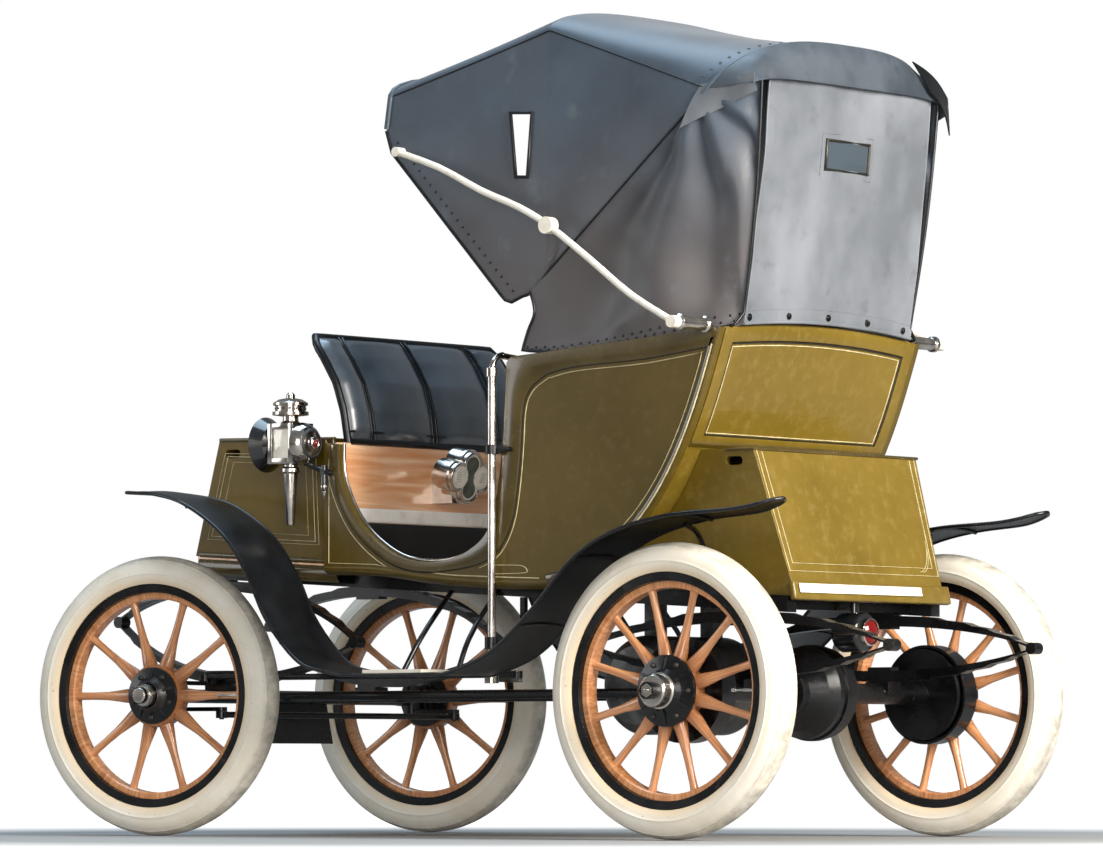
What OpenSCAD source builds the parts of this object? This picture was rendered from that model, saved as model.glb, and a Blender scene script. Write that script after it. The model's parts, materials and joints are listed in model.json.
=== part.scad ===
/* [Stance] */
// Distance between the two axles
wheelbase = 1904; // [1750:1:2100]
// Distance between the tyres' middle planes, left to right
track = 1270; // [1200:1:1400]
// Where the middle of the wheelbase lies ahead of the origin
mid_x = 50; // [20:1:90]
// Height of the body's base line at the origin
base_z = 735; // [715:1:780]
// Slope of the body's base line in degrees, front end up
body_rake = 3.5; // [2:0.1:4.5]
// Steering angle in degrees in which it is parked, to the left
steer_rest = 8.7; // [0:0.1:15]
// Clearance between pieces that sit on each other
gap = 0.3; // [0.2:0.1:0.5]

/* [Wheels] */
// Outer diameter of a tyre
wheel_d = 813; // [780:1:840]
// Width of a tyre's round section
tyre_w = 105; // [95:1:115]
// Outer radius of the steel rim band
rim_r = 324; // [315:1:330]
// Radial thickness of the steel rim band
rim_t = 24; // [16:1:28]
// Width of the steel rim band
rim_w = 76; // [60:1:84]
// Radial thickness of the wooden felloe
felloe_t = 30; // [24:1:36]
// Width of the wooden felloe
felloe_w = 50; // [40:1:60]
// Spokes of a front wheel
front_spokes = 10; // [8:1:12]
// Spokes of a rear wheel
rear_spokes = 12; // [10:1:14]
// Spoke radius at the felloe
spoke_tip_r = 13; // [10:0.5:15]
// Spoke radius at its waist
spoke_waist_r = 10.5; // [8:0.5:12]
// Spoke radius at the nave
spoke_root_r = 21; // [16:0.5:22]
// Radius of the wooden nave
nave_r = 92; // [85:1:100]
// Width of the wooden nave
nave_w = 52; // [44:1:60]
// Radius of the hub's sleeve through the nave
sleeve_r = 40; // [34:1:46]
// Radius of a front hub's flange
front_flange_r = 82; // [74:1:88]
// Radius of a rear hub's flange
rear_flange_r = 98; // [90:1:106]
// Thickness of a hub's flange
flange_t = 9; // [6:1:12]
// Ribs on a front hub's outer flange
front_ribs = 5; // [4:1:6]
// Ribs on a rear hub's outer flange
rear_ribs = 6; // [5:1:8]
// Radius of a rear brake drum
drum_r = 142; // [130:1:155]
// Width of a rear brake drum
drum_w = 58; // [50:1:70]
// Radius of the stub axles
stub_r = 18; // [15:1:24]

/* [Running gear] */
// Height of the frame rails
rail_h = 45; // [36:1:54]
// Width of the frame rails
rail_w = 40; // [30:1:48]
// How far the frame rails' middles, also the springs', lie inboard of the tyres' middle planes
rail_in = 295; // [285:1:310]
// Width of the spring leaves
leaf_w = 38; // [30:1:44]
// Thickness of a spring leaf
leaf_t = 6; // [4:0.5:7]
// Leaves in each half of a spring
leaf_n = 5; // [3:1:6]
// How far the springs reach from their axles towards the middle of the vehicle
spring_reach = 522; // [500:1:540]
// How far a front spring reaches ahead of its axle
front_spring_ahead = 398; // [380:1:420]
// How far a rear spring reaches behind its axle
rear_spring_behind = 520; // [500:1:530]
// Height of the front springs' front eyes
front_nose_z = 630; // [610:1:640]
// Height of the front springs' rear eyes
front_tail_z = 560; // [540:1:580]
// Height of the rear springs' front eyes
rear_nose_z = 540; // [525:1:555]
// Height of the rear springs' rear eyes
rear_tail_z = 530; // [520:1:545]
// Outer radius of the springs' scroll eyes
eye_r = 17; // [14:1:22]
// Radius of the front axle tube
front_tube_r = 20; // [16:1:24]
// Radius of the rear axle tube
rear_tube_r = 29; // [25:1:34]
// Radius of the differential drum
diff_r = 135; // [120:1:150]
// Radius of the motor
motor_r = 140; // [120:1:150]
// Clearance between the motor's ends and the frame rails' middles
motor_gap = 120; // [100:1:150]
// How far the motor lies ahead of the rear axle
motor_ahead = 452; // [420:1:500]
// How far a kingpin lies inboard of its tyre's middle plane
kingpin_in = 105; // [98:1:112]
// Radius of the kingpins
kingpin_r = 11; // [9:0.5:13]
// Length of the tie rod's steering arms
tie_arm = 150; // [130:1:170]
// Length of the drag link's steering arms
drag_arm = 140; // [132:1:145]
// Radius of the tie rod and drag link
link_r = 9; // [7:0.5:10]
// Radius of the link pins
pin_r = 7; // [6:0.5:8]

/* [Body] */
// Half the outer width of the tub
tub_half = 470; // [460:1:480]
// Thickness of the tub's side panels
panel_t = 20; // [16:1:24]
// Where the tub's side panels end in front
tub_front_x = 496; // [480:1:500]
// Height of the tub's front corner over the base line's height
tub_front_h = 619; // [600:1:640]
// Height of the tub's rear corner over the base line's height
tub_rear_h = 672; // [650:1:690]
// Where the tub's rear corner lies behind the origin
tub_rear_x = 938; // [920:1:960]
// Thickness of the floor boards
floor_t = 20; // [14:1:26]
// How far the front box's sides lie inboard of the tub's
front_box_in = 68; // [55:1:80]
// Length of the front box at its top
front_box_l = 447; // [420:1:470]
// How far the front box's foot stands ahead of its top
front_box_rake = 93; // [70:1:110]
// Height of the front box's top over the base line's height
front_box_h = 415; // [390:1:440]
// Thickness of the boxes' boards
box_t = 18; // [12:1:24]
// Half the width of the rear box at its top
rear_box_top_half = 384; // [370:1:400]
// Half the width of the rear box at its foot
rear_box_foot_half = 358; // [345:1:375]
// Height of the rear box's top over the base line's height
rear_box_h = 342; // [320:1:350]
// Where the rear box's top edge lies behind the origin
rear_box_top_x = 985; // [970:1:1000]
// How far the rear box's foot stands behind its top edge
rear_box_rake = 122; // [100:1:140]
// Height of the seat board over the base line's height
seat_h = 270; // [250:1:290]
// Thickness of the seat cushion
cushion_t = 125; // [100:1:140]
// Thickness of the seat back at its foot
seat_back_t = 115; // [90:1:130]
// How far the seat back's foot reaches behind the origin
seat_back_x = 795; // [780:1:810]
// How far the seat back's top lies behind its foot
seat_back_lean = 92; // [80:1:105]
// How far the rear panel's top is arched
panel_arch = 25; // [10:1:35]
// Length of the front battery block
front_battery_l = 340; // [300:1:360]
// Length of the rear battery block
rear_battery_l = 250; // [220:1:270]
// Height of the battery blocks
battery_h = 245; // [200:1:260]
// Clearance of the battery blocks from the boxes' side walls
battery_gap = 54; // [20:1:80]
// Half the width of the dash
dash_half = 420; // [400:1:440]
// Thickness of the leather dash
dash_t = 22; // [16:1:28]

/* [Hood] */
// Thickness of the hood's leather as it hangs
leather_t = 8; // [6:1:12]
// Radius of the hood's bows
bow_r = 11; // [8:1:14]
// Radius of the landau irons
iron_r = 10; // [8:1:12]
// Radius of the prop rollers
roller_r = 23; // [18:1:26]
// Length of the prop rollers
roller_l = 140; // [120:1:150]

/* [Fenders and fittings] */
// Width of the fenders
fender_w = 225; // [210:1:235]
// How far a fender's inner edge lies inboard of its tyre's middle plane
fender_in = 119; // [112:1:120]
// Thickness of the fenders
fender_t = 7; // [5:1:10]
// Height of the steps over the ground
step_z = 455; // [448:1:462]
// Thickness of the step pads
pad_t = 10; // [6:1:14]
// Radius of the tiller's post
post_r = 12; // [9:0.5:13]
// Where the tiller's post stands behind the origin
tiller_x = 145; // [135:1:150]
// How far the tiller's post stands out from the tub's side
tiller_out = 20; // [18:1:22]
// Height of the tiller post's top over the base line's height
post_top_h = 580; // [560:1:600]
// How far the lamps' middles lie out from the tub's side
lamp_out = 50; // [45:1:70]
// Height of the lamps' middles over the base line's height
lamp_h = 395; // [380:1:410]

/* [Hidden] */

$fn = 48;
olive = "#6b5a24";
black = "#1b1d20";
leather = "#2c333d";
nickel = "#c9c9c6";
ivory = "#efe9da";
oak = "#b9773d";

axle_z = wheel_d / 2;
front_x = wheelbase / 2 + mid_x;
rear_x = mid_x - wheelbase / 2;
kingpin_y = track / 2 - kingpin_in;
rail_y = track / 2 - rail_in;
reach_y = rail_y - 78;
inner_half = tub_half - panel_t - gap;
front_box_half = tub_half - front_box_in;
tiller_y = tub_half + tiller_out;
lamp_y = tub_half + lamp_out;
felloe_r = rim_r - rim_t - gap;

// Height of the body's base line at x
function base(x) = base_z + x * tan(body_rake);
function rail_foot(x) = base(x) - gap - rail_h;

// Curves in a plane or in space

function bezier(a, b, c, d, n) = [
  for (i = [0:n])
    let (t = i / n, s = 1 - t)
      a * s * s * s + b * 3 * s * s * t + c * 3 * s * t * t + d * t * t * t
];

function between(a, b, c, d, t) = 0.5 * (2 * b + (c - a) * t + (2 * a - 5 * b + 4 * c - d) * t * t
  + (3 * b - a - 3 * c + d) * t * t * t);

// Smooth curve through all the points, n steps from each to the next
function smooth(p, n) = concat(
  [for (i = [0:len(p) - 2]) for (k = [0:n - 1])
    between(p[max(i - 1, 0)], p[i], p[i + 1], p[min(i + 2, len(p) - 1)], k / n)],
  [p[len(p) - 1]]
);

function reversed(p) = [for (i = [len(p) - 1:-1:0]) p[i]];
function unit(v) = v / norm(v);

// Left-hand normal of a plane curve at its point i
function side_of(p, i) =
  let (d = unit(p[min(i + 1, len(p) - 1)] - p[max(i - 1, 0)])) [-d[1], d[0]];

// Outline of a strip that follows a curve, from its right edge to its left edge
function strip(p, right, left) = concat(
  [for (i = [0:len(p) - 1]) p[i] - side_of(p, i) * right],
  reversed([for (i = [0:len(p) - 1]) p[i] + side_of(p, i) * left])
);

// Leaves at share t of a spring's length; each further leaf is shorter
leaf_step = 0.165;
function leaves_at(t) = len([for (k = [0:leaf_n - 1]) if (abs(2 * t - 1) <= 1 - leaf_step * k) k]);

// Outline of a leaf pack on the right of a curve, which is its longest leaf's inner face
function leaf_pack(p) = concat(p, reversed([
  for (i = [0:len(p) - 1]) p[i] - side_of(p, i) * leaf_t * leaves_at(i / (len(p) - 1))
]));

// Extrudes an outline of [x, z] points from y = near to y = far
module across(outline, near, far) {
  translate([0, far, 0])
    rotate([90, 0, 0])
      linear_extrude(far - near)
        polygon(outline);
}

module both_sides() {
  children();
  mirror([0, 1, 0]) children();
}

// Round rod from point a to point b
module rod(a, b, r) {
  d = b - a;
  translate(a)
    rotate([0, acos(d[2] / norm(d)), atan2(d[1], d[0])])
      cylinder(h = norm(d), r = r);
}

// Turns a profile of [radius, y] points about the Y axis
module turned(profile) {
  rotate([-90, 0, 0])
    rotate_extrude($fn = 96)
      polygon(profile);
}

// Turns a profile of [radius, x] points about the X axis
module turned_x(profile) {
  rotate([0, 90, 0])
    rotate_extrude()
      polygon(profile);
}

// Tube along a space curve; ref is a direction that the curve never follows
module bent_tube(p, r, ref, sides = 10) {
  last = len(p) - 1;
  rings = [
    for (i = [0:last])
      let (t = unit(p[min(i + 1, last)] - p[max(i - 1, 0)]), b = unit(cross(t, ref)), n = cross(t, b))
        for (k = [0:sides - 1])
          p[i] + r * (cos(360 * k / sides) * b + sin(360 * k / sides) * n)
  ];
  walls = [
    for (i = [0:last - 1]) for (k = [0:sides - 1])
      let (a = i * sides, m = (k + 1) % sides)
        [a + k, a + sides + k, a + sides + m, a + m]
  ];
  foot = [for (k = [0:sides - 1]) k];
  head = [for (k = [sides - 1:-1:0]) last * sides + k];
  polyhedron(points = rings, faces = concat(walls, [foot, head]));
}

// Body

// Doorway's edge from its front down, round and up to its rear: [x, height over the base line's height]
doorway = [[438, 392], [429, 285], [355, 159], [225, 69], [80, 47], [-50, 78], [-131, 162], [-172, 385], [-185, 605]];
door_curve = smooth(doorway, 4);
tub_corner = [-202, tub_front_h];
tub_rear = [-tub_rear_x, tub_rear_h];
tub_foot_x = -330;
tub_curve = bezier(tub_rear, [-865, 460], [-740, 30], [tub_foot_x, base(tub_foot_x) - base_z], 14);
tub_front_top = [tub_front_x, doorway[0][1] + 6];

function lifted(p) = [for (q = p) [q[0], q[1] + base_z]];

// Height of the tub's top edge at x
function tub_top(x) = base_z + tub_front_h
  + (tub_rear_h - tub_front_h) * (tub_corner[0] - x) / (tub_corner[0] - tub_rear[0]);

module tub_sides() {
  outline = concat(
    door_curve,
    [tub_corner],
    tub_curve,
    [[tub_front_x, base(tub_front_x) - base_z], tub_front_top]
  );
  color(olive)
    both_sides()
      across(lifted(outline), tub_half - panel_t, tub_half);
}

module rear_panel() {
  top = base_z + tub_rear_h;
  board = concat([[tub_rear[0], tub_rear[1] + panel_arch]], tub_curve);
  arch_r = (tub_half * tub_half + panel_arch * panel_arch) / (2 * panel_arch);
  color(olive)
    intersection() {
      across(lifted(strip(board, 0, panel_t)), -inner_half, inner_half);
      translate([-tub_rear_x - 1, 0, top + panel_arch - arch_r])
        rotate([0, 90, 0])
          cylinder(h = tub_rear_x, r = arch_r, $fn = 180);
    }
}

tub_floor_rear = -250;
module floor_boards() {
  front = front_x + 40;
  function board(from, to) =
    [[from, base(from)], [to, base(to)], [to, base(to) + floor_t], [from, base(from) + floor_t]];
  color(oak) {
    across(board(tub_floor_rear, tub_front_x), -inner_half, inner_half);
    across(board(tub_front_x - 1, front), -front_box_half, front_box_half);
  }
}

front_box_x = tub_front_x + 14;
front_box_top = base_z + front_box_h;
slot_l = 34;
slot_r = 12;

// Oval hand slot through both side walls, at a place in side view
module hand_slot(x, z, half) {
  across([[x, z - slot_r], [x + slot_l, z - slot_r], [x + slot_l, z + slot_r], [x, z + slot_r]], -half, half);
  for (end = [0, slot_l])
    translate([x + end, half, z])
      rotate([90, 0, 0])
        cylinder(h = 2 * half, r = slot_r);
}

module front_box() {
  seat = floor_t + gap;
  rear = front_box_x;
  top_front = rear + front_box_l;
  foot_front = top_front + front_box_rake;
  deep = 60;
  lean = front_box_rake / (front_box_h - seat);
  outer = [
    [rear, base(rear) + seat],
    [foot_front, base(foot_front) + seat],
    [top_front, front_box_top + 10],
    [rear, front_box_top]
  ];
  inner = [
    [rear + box_t, base(rear) - deep],
    [foot_front - box_t + lean * deep, base(rear) - deep],
    [top_front - box_t + 4, front_box_top - box_t],
    [rear + box_t, front_box_top - box_t]
  ];
  color(olive)
    difference() {
      across(outer, -front_box_half, front_box_half);
      across(inner, -front_box_half + box_t, front_box_half - box_t);
      hand_slot(top_front - 68, front_box_top - 34, front_box_half + 1);
    }
}

module rear_box() {
  rear_foot = -rear_box_top_x - rear_box_rake;
  top = base_z + rear_box_h;
  far = rear_box_top_half + box_t;
  front = -400;
  clear = 1;
  function side_view(wall) = [
    [front, base(front) + wall],
    [front, top - wall],
    [-rear_box_top_x + wall, top - wall],
    [rear_foot + wall, base(rear_foot) + wall]
  ];
  module rear_view(wall) {
    foot = base(rear_foot) - base_z - 60;
    lean = (rear_box_top_half - rear_box_foot_half) / rear_box_h;
    translate([front, 0, base_z])
      rotate([90, 0, -90])
        linear_extrude(front - rear_foot + 1)
          polygon([
            [-rear_box_foot_half + wall - lean * foot, foot],
            [rear_box_foot_half - wall + lean * foot, foot],
            [rear_box_top_half - wall, rear_box_h],
            [-rear_box_top_half + wall, rear_box_h]
          ]);
  }
  tub_shape = concat(
    [for (q = tub_curve) [q[0] - clear, q[1] - clear]],
    [[0, base(0) - base_z - 90], [0, rear_box_h + 90], [tub_rear[0], rear_box_h + 90]]
  );
  color(olive)
    difference() {
      intersection() {
        across(side_view(0), -far, far);
        rear_view(0);
      }
      intersection() {
        across(side_view(box_t), -far, far);
        rear_view(box_t);
      }
      across(lifted(tub_shape), -far - 1, far + 1);
      hand_slot(-935, top - 34, far + 1);
    }
}

// Dash in side view: [x, height over the base line's height]
dash_line = [[462, 399], [482, 525], [537, 640], [588, 720]];
toe_x = dash_line[0][0] - 10;
toe_t = 18;

module toe_board() {
  head = base_z + dash_line[0][1] - gap;
  function on_floor(x) = [x, base(x) + floor_t + gap];
  color(oak)
    across([on_floor(toe_x), on_floor(toe_x + toe_t), [toe_x + toe_t, head], [toe_x, head]], -inner_half, inner_half);
}

module dash() {
  corner = 60;
  foot = base_z + dash_line[0][1];
  top = base_z + dash_line[3][1];
  color(leather)
    intersection() {
      across(lifted(strip(smooth(dash_line, 5), dash_t / 2, dash_t / 2)), -dash_half, dash_half);
      translate([toe_x - 100, 0, 0])
        rotate([90, 0, 90])
          linear_extrude(400)
            union() {
              translate([-dash_half, foot])
                square([2 * dash_half, top - corner - foot]);
              translate([corner - dash_half, foot])
                square([2 * (dash_half - corner), top - foot]);
              for (side = [-1, 1])
                translate([side * (dash_half - corner), top - corner])
                  circle(corner);
            }
    }
}

riser_x = -215;
module seat_box() {
  seat_top = base_z + seat_h;
  foot = base(riser_x) + floor_t + gap;
  back = -700;
  color(olive) {
    translate([riser_x - 18, -inner_half, foot])
      cube([18, 2 * inner_half, seat_top - foot]);
    translate([back, -inner_half, seat_top - 18])
      cube([riser_x - back, 2 * inner_half, 18]);
  }
}

module seat_cushion() {
  foot = base_z + seat_h + gap;
  front = riser_x + 15;
  length = 500;
  nose = cushion_t / 3;
  color(leather)
    across([
      [front - length, foot], [front, foot], [front + nose / 3, foot + cushion_t / 2],
      [front - nose / 3, foot + cushion_t], [front - length, foot + cushion_t]
    ], -inner_half + 6, inner_half - 6);
}

module seat_back() {
  foot = base_z + seat_h + cushion_t + 2 * gap;
  top = base_z + tub_rear_h + 20;
  rear = -seat_back_x;
  front = rear + seat_back_t;
  color(leather)
    across([
      [rear, foot], [front, foot], [front - seat_back_lean, top], [rear - seat_back_lean, top]
    ], -inner_half + 6, inner_half - 6);
}

// Hood

hood_out = tub_half - 4;
hood_in = hood_out - leather_t;
pivot = [-262, 765];

// Bows from front to rear: [x of the leather's fold at its crown, shoulder, crown, rod's place from the fold,
// shoulder's place ahead of the crown], shoulder and crown as heights over the base line's height
bows = [[246, 1375, 1455, -20, 0], [-340, 1525, 1612, 0, 0], [-1030, 1318, 1475, 20, 150]];
function bow_x(b) = b[0] + b[3];
function shoulder_x(b) = b[0] + b[4];
quarter_corner = [-1008, 1300];

// Side window: its middle and half widths at the top and the foot
side_window = [-233, 1217];
side_window_top = 40;
side_window_foot = 22;
side_window_h = 182;

module hood_sides() {
  foot_front = -256;
  foot_rear = -948;
  function on_tub(x) = [x, tub_top(x) - base_z + gap];
  outline = concat(
    [on_tub(foot_rear), on_tub(foot_front)],
    [[-240, 740], [-220, 776], [-195, 780], [-169, 781]],
    [[227, 1225], [250, bows[0][1] - 20]],
    [for (b = bows) [shoulder_x(b), b[1]]],
    [quarter_corner]
  );
  window = [for (q = [[-side_window_top, 1], [side_window_top, 1], [side_window_foot, -1], [-side_window_foot, -1]])
    side_window + [q[0], q[1] * side_window_h / 2]];
  color(leather)
    both_sides()
      difference() {
        across(lifted(outline), hood_in, hood_out);
        across(lifted(window), hood_in - 1, hood_out + 1);
      }
}

across_n = 20;

// Point on the arch of a bow: s runs from -1 at the right edge to 1 at the left edge
function arch(b, s, drop) =
  let (rise = pow(1 - pow(abs(s), 3), 0.45)) [
    b[0] + b[4] * (1 - rise),
    hood_out * s - sign(s) * drop * abs(s),
    base_z + b[1] + gap + (b[2] - b[1] - drop) * rise
  ];
arch_steps = [for (k = [0:across_n]) sin(90 * (2 * k / across_n - 1))];

module hood_top() {
  n = across_n + 1;
  outer = [for (b = bows) for (s = arch_steps) arch(b, s, 0)];
  inner = [for (b = bows) for (s = arch_steps) arch(b, s, leather_t)];
  m = len(outer);
  rows = len(bows);
  faces = concat(
    [for (i = [0:rows - 2]) for (k = [0:across_n - 1])
      let (a = i * n + k) each [[a, a + n + 1, a + 1], [a, a + n, a + n + 1]]],
    [for (i = [0:rows - 2]) for (k = [0:across_n - 1])
      let (a = m + i * n + k) each [[a, a + 1, a + n + 1], [a, a + n + 1, a + n]]],
    [for (k = [0:across_n - 1]) each [[k, m + k + 1, m + k], [k, k + 1, m + k + 1]]],
    [for (k = [0:across_n - 1])
      let (a = (rows - 1) * n + k) each [[a, m + a + 1, a + 1], [a, m + a, m + a + 1]]],
    [for (i = [0:rows - 2])
      let (a = i * n) each [[a, m + a + n, a + n], [a, m + a, m + a + n]]],
    [for (i = [0:rows - 2])
      let (a = i * n + across_n) each [[a, m + a + n, m + a], [a, a + n, m + a + n]]]
  );
  color(leather)
    polyhedron(points = concat(outer, inner), faces = faces);
}

curtain_half = 400;
curtain_foot_x = -tub_rear_x - gap - leather_t;
curtain_head = bows[2][2] - 70;
window_w = 210;
window_h = 78;
window_drop = 237;

module rear_curtain() {
  foot = tub_rear_h + gap;
  head_x = bow_x(bows[2]) - bow_r - 4 * gap - leather_t;
  color(leather)
    difference() {
      across(lifted([
        [curtain_foot_x, foot], [curtain_foot_x + leather_t, foot],
        [head_x + leather_t, curtain_head], [head_x, curtain_head]
      ]), -curtain_half, curtain_half);
      translate([bows[2][0] - 70, -window_w / 2, base_z + curtain_head - window_drop - window_h / 2])
        cube([300, window_w, window_h]);
    }
}

module hood_bows() {
  inset = leather_t + bow_r + 9;
  leg_y = hood_in - gap - bow_r;
  reach = 90;
  color(oak)
    for (b = bows) {
      shoulder = [shoulder_x(b) + b[3], leg_y, base_z + b[1] - 30];
      hub = [pivot[0], leg_y, base_z + pivot[1]];
      start = hub + unit(shoulder - hub) * reach;
      top = [for (k = [across_n - 3:-1:3]) arch(b + [b[3], 0, 0, 0, 0], arch_steps[k], inset)];
      half = concat([start, shoulder], top, [[shoulder[0], -leg_y, shoulder[2]], [start[0], -leg_y, start[2]]]);
      bent_tube(half, bow_r, [1, 0, 0.02], 8);
    }
}

roller_x = -tub_rear_x + 42;
roller_h = tub_rear_h + 8;

// Landau iron: [x, distance out from the tub's side, height over the base line's height]
iron_line = [[203, 22, 1220], [40, 30, 1165], [-122, 40, 1090], [-270, 58, 1035], [-393, 75, 975],
  [-560, 98, 870], [-720, 122, 765], [roller_x, roller_l + 17, roller_h]];
function on_iron(q) = [q[0], tub_half + q[1], base_z + q[2]];

module hood_irons() {
  path = [for (q = smooth(iron_line, 3)) on_iron(q)];
  front = path[0];
  rear = path[len(path) - 1];
  knuckle = on_iron(iron_line[4]);
  color(ivory)
    both_sides() {
      bent_tube(path, iron_r, [0, 1, 0]);
      rod([front[0], hood_out + gap, front[2]], [front[0], front[1] + iron_r, front[2]], 14);
      rod(knuckle - [0, 16, 0], knuckle + [0, 16, 0], 24);
      rod([rear[0], tub_half + roller_l + gap, rear[2]], rear + [0, 12, 0], 17);
    }
}

module prop_rollers() {
  r = roller_r;
  waist = r - 5;
  end = roller_l - gap;
  color(nickel)
    both_sides()
      translate([roller_x, tub_half + gap, base_z + roller_h])
        turned([
          [0, 0], [r - 6, 0], [r, 6], [r, 18], [waist, 22],
          [waist, end - 22], [r, end - 18], [r, end - 6], [r - 6, end], [0, end]
        ]);
}

// Fenders and fittings

fender_near = track / 2 - fender_in;
fender_far = fender_near + fender_w;

// Fender in side view: [x from its own axle, height over the step]
front_fender = [[108, 543], [-64, 532], [-202, 500], [-352, 409], [-447, 292], [-522, 160], [-635, 45], [-732, 13],
  [-842, 0]];
rear_fender = [[782, 0], [711, 5], [564, 58], [419, 171], [275, 310], [132, 383], [-45, 422], [-255, 438],
  [-368, 465]];

tip_l = 330;
tip_share = 0.22;

// Half the fender's width at a distance from its free tip
function tip_half(d) = fender_w / 2 * (tip_share + (1 - tip_share) * sin(90 * min(d / tip_l, 1)));

module fenders() {
  front_tip = front_x + front_fender[0][0];
  rear_tip = rear_x + rear_fender[len(rear_fender) - 1][0];
  middle = (fender_near + fender_far) / 2;
  tips = concat(
    [for (k = [0:8]) let (d = tip_l * k / 8) [rear_tip + d, tip_half(d)]],
    [for (k = [8:-1:0]) let (d = tip_l * k / 8) [front_tip - d, tip_half(d)]]
  );
  plan = concat([for (q = tips) [q[0], middle - q[1]]], [for (q = reversed(tips)) [q[0], middle + q[1]]]);
  line = [for (q = concat(
    [for (q = smooth(front_fender, 3)) q + [front_x, 0]],
    [for (q = smooth(rear_fender, 3)) q + [rear_x, 0]]
  )) q + [0, step_z]];
  stay_r = 9;
  stay_z = rail_foot(0) + rail_h / 2;
  rail_side = rail_y + rail_w / 2 + gap;
  color(black)
    both_sides() {
      intersection() {
        across(strip(line, fender_t, 0), fender_near, fender_far);
        linear_extrude(2 * base_z)
          polygon(plan);
      }
      for (x = [-60, 110]) {
        rod([x, rail_side + stay_r, stay_z], [x, fender_near + stay_r, step_z + 2], stay_r);
        translate([x - 20, rail_side, stay_z - 14])
          cube([40, 14, 24]);
      }
    }
}

module step_pads() {
  pad_in = 34;
  color(ivory)
    both_sides()
      translate([-85, fender_near + pad_in, step_z + fender_t + gap])
        cube([215, fender_w - pad_in - 12, pad_t]);
}

lamp_x = 580;
module lamps() {
  body = [96, 88, 118];
  glass = [62, 84];
  z = base_z + lamp_h;
  arm_z = z - 84;
  post_x = tub_front_x - 28;
  arm_y = lamp_y - 20;
  color(black)
    both_sides() {
      translate([lamp_x, lamp_y, z]) {
        difference() {
          translate(-body / 2)
            cube(body);
          translate([-glass[0] / 2, body[1] / 2 - 6, -glass[1] / 2])
            cube([glass[0], 7, glass[1]]);
        }
        turned_x([[0, 30], [44, 30], [44, 48], [58, 58], [80, 92], [75, 92], [54, 62], [0, 56]]);
        turned_x([[0, -96], [9, -95], [13, -90], [14, -86], [34, -83], [50, -72], [58, -56], [60, -46], [0, -46]]);
        rotate_extrude()
          polygon([
            [0, 58], [30, 58], [22, 66], [22, 80], [52, 84], [52, 92], [44, 94], [44, 110], [50, 112], [50, 118],
            [34, 128], [12, 132], [12, 142], [6, 148], [0, 148]
          ]);
        rotate_extrude()
          polygon([[0, -236], [9, -234], [13, -226], [20, -86], [26, -80], [26, -72], [20, -66], [20, -58], [0, -58]]);
      }
      rod([lamp_x - 20, lamp_y, z - 40], [post_x, arm_y, arm_z], 8);
      rod([post_x, arm_y, arm_z - 50], [post_x, arm_y, arm_z + 20], 10);
      rod([post_x, tub_half + gap, arm_z], [post_x, lamp_y - 10, arm_z], 9);
    }
}

tail_x = -1050;
tail_z = 574;
module tail_lamp() {
  stem_r = 12;
  color(black) {
    translate([tail_x, 0, tail_z])
      turned_x([
        [0, -58], [22, -55], [36, -46], [38, -40], [52, -38], [55, -32], [55, 36], [48, 46], [24, 50], [0, 50]
      ]);
    rod([tail_x, 0, tail_z + 40], [tail_x, 0, base(tail_x - stem_r) - gap], stem_r);
  }
}

meter_h = 295;
meter_ahead = 120;
meter_tilt = 78;
meter_d = 72;
lobe_r = 44;
lobe_side = 51;
lobe_up = 33;
module meter() {
  z = base_z + meter_h;
  module clover(grow) {
    for (y = [-lobe_side, lobe_side])
      translate([0, y])
        circle(lobe_r + grow);
    for (x = [-lobe_up, lobe_up])
      translate([x, 0])
        circle(lobe_r + grow);
  }
  color(nickel) {
    translate([toe_x - meter_ahead, 0, z + 14])
      rotate([0, meter_tilt, 0]) {
        difference() {
          linear_extrude(meter_d)
            clover(0);
          translate([0, 0, -1])
            linear_extrude(5)
              clover(-9);
        }
        translate([0, 0, 14])
          linear_extrude(10)
            clover(4);
      }
    translate([toe_x - 74, -34, z - 60])
      cube([74 - gap, 68, 90]);
  }
}

// Running gear

cross_members = [-1000, rear_x + motor_ahead, -140, 520, front_x + 20];

module frame_rails() {
  cross_half = rail_y - rail_w / 2 - gap;
  rear = -1085;
  front = front_x + 48;
  color(black) {
    both_sides()
      across([
        [rear, rail_foot(rear)], [front, rail_foot(front)],
        [front, base(front) - gap], [rear, base(rear) - gap]
      ], rail_y - rail_w / 2, rail_y + rail_w / 2);
    for (x = cross_members)
      translate([x - 16, -cross_half, rail_foot(x) + 6])
        cube([32, 2 * cross_half, rail_h - 14]);
  }
}

seat_foot = axle_z + 34;

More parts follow.
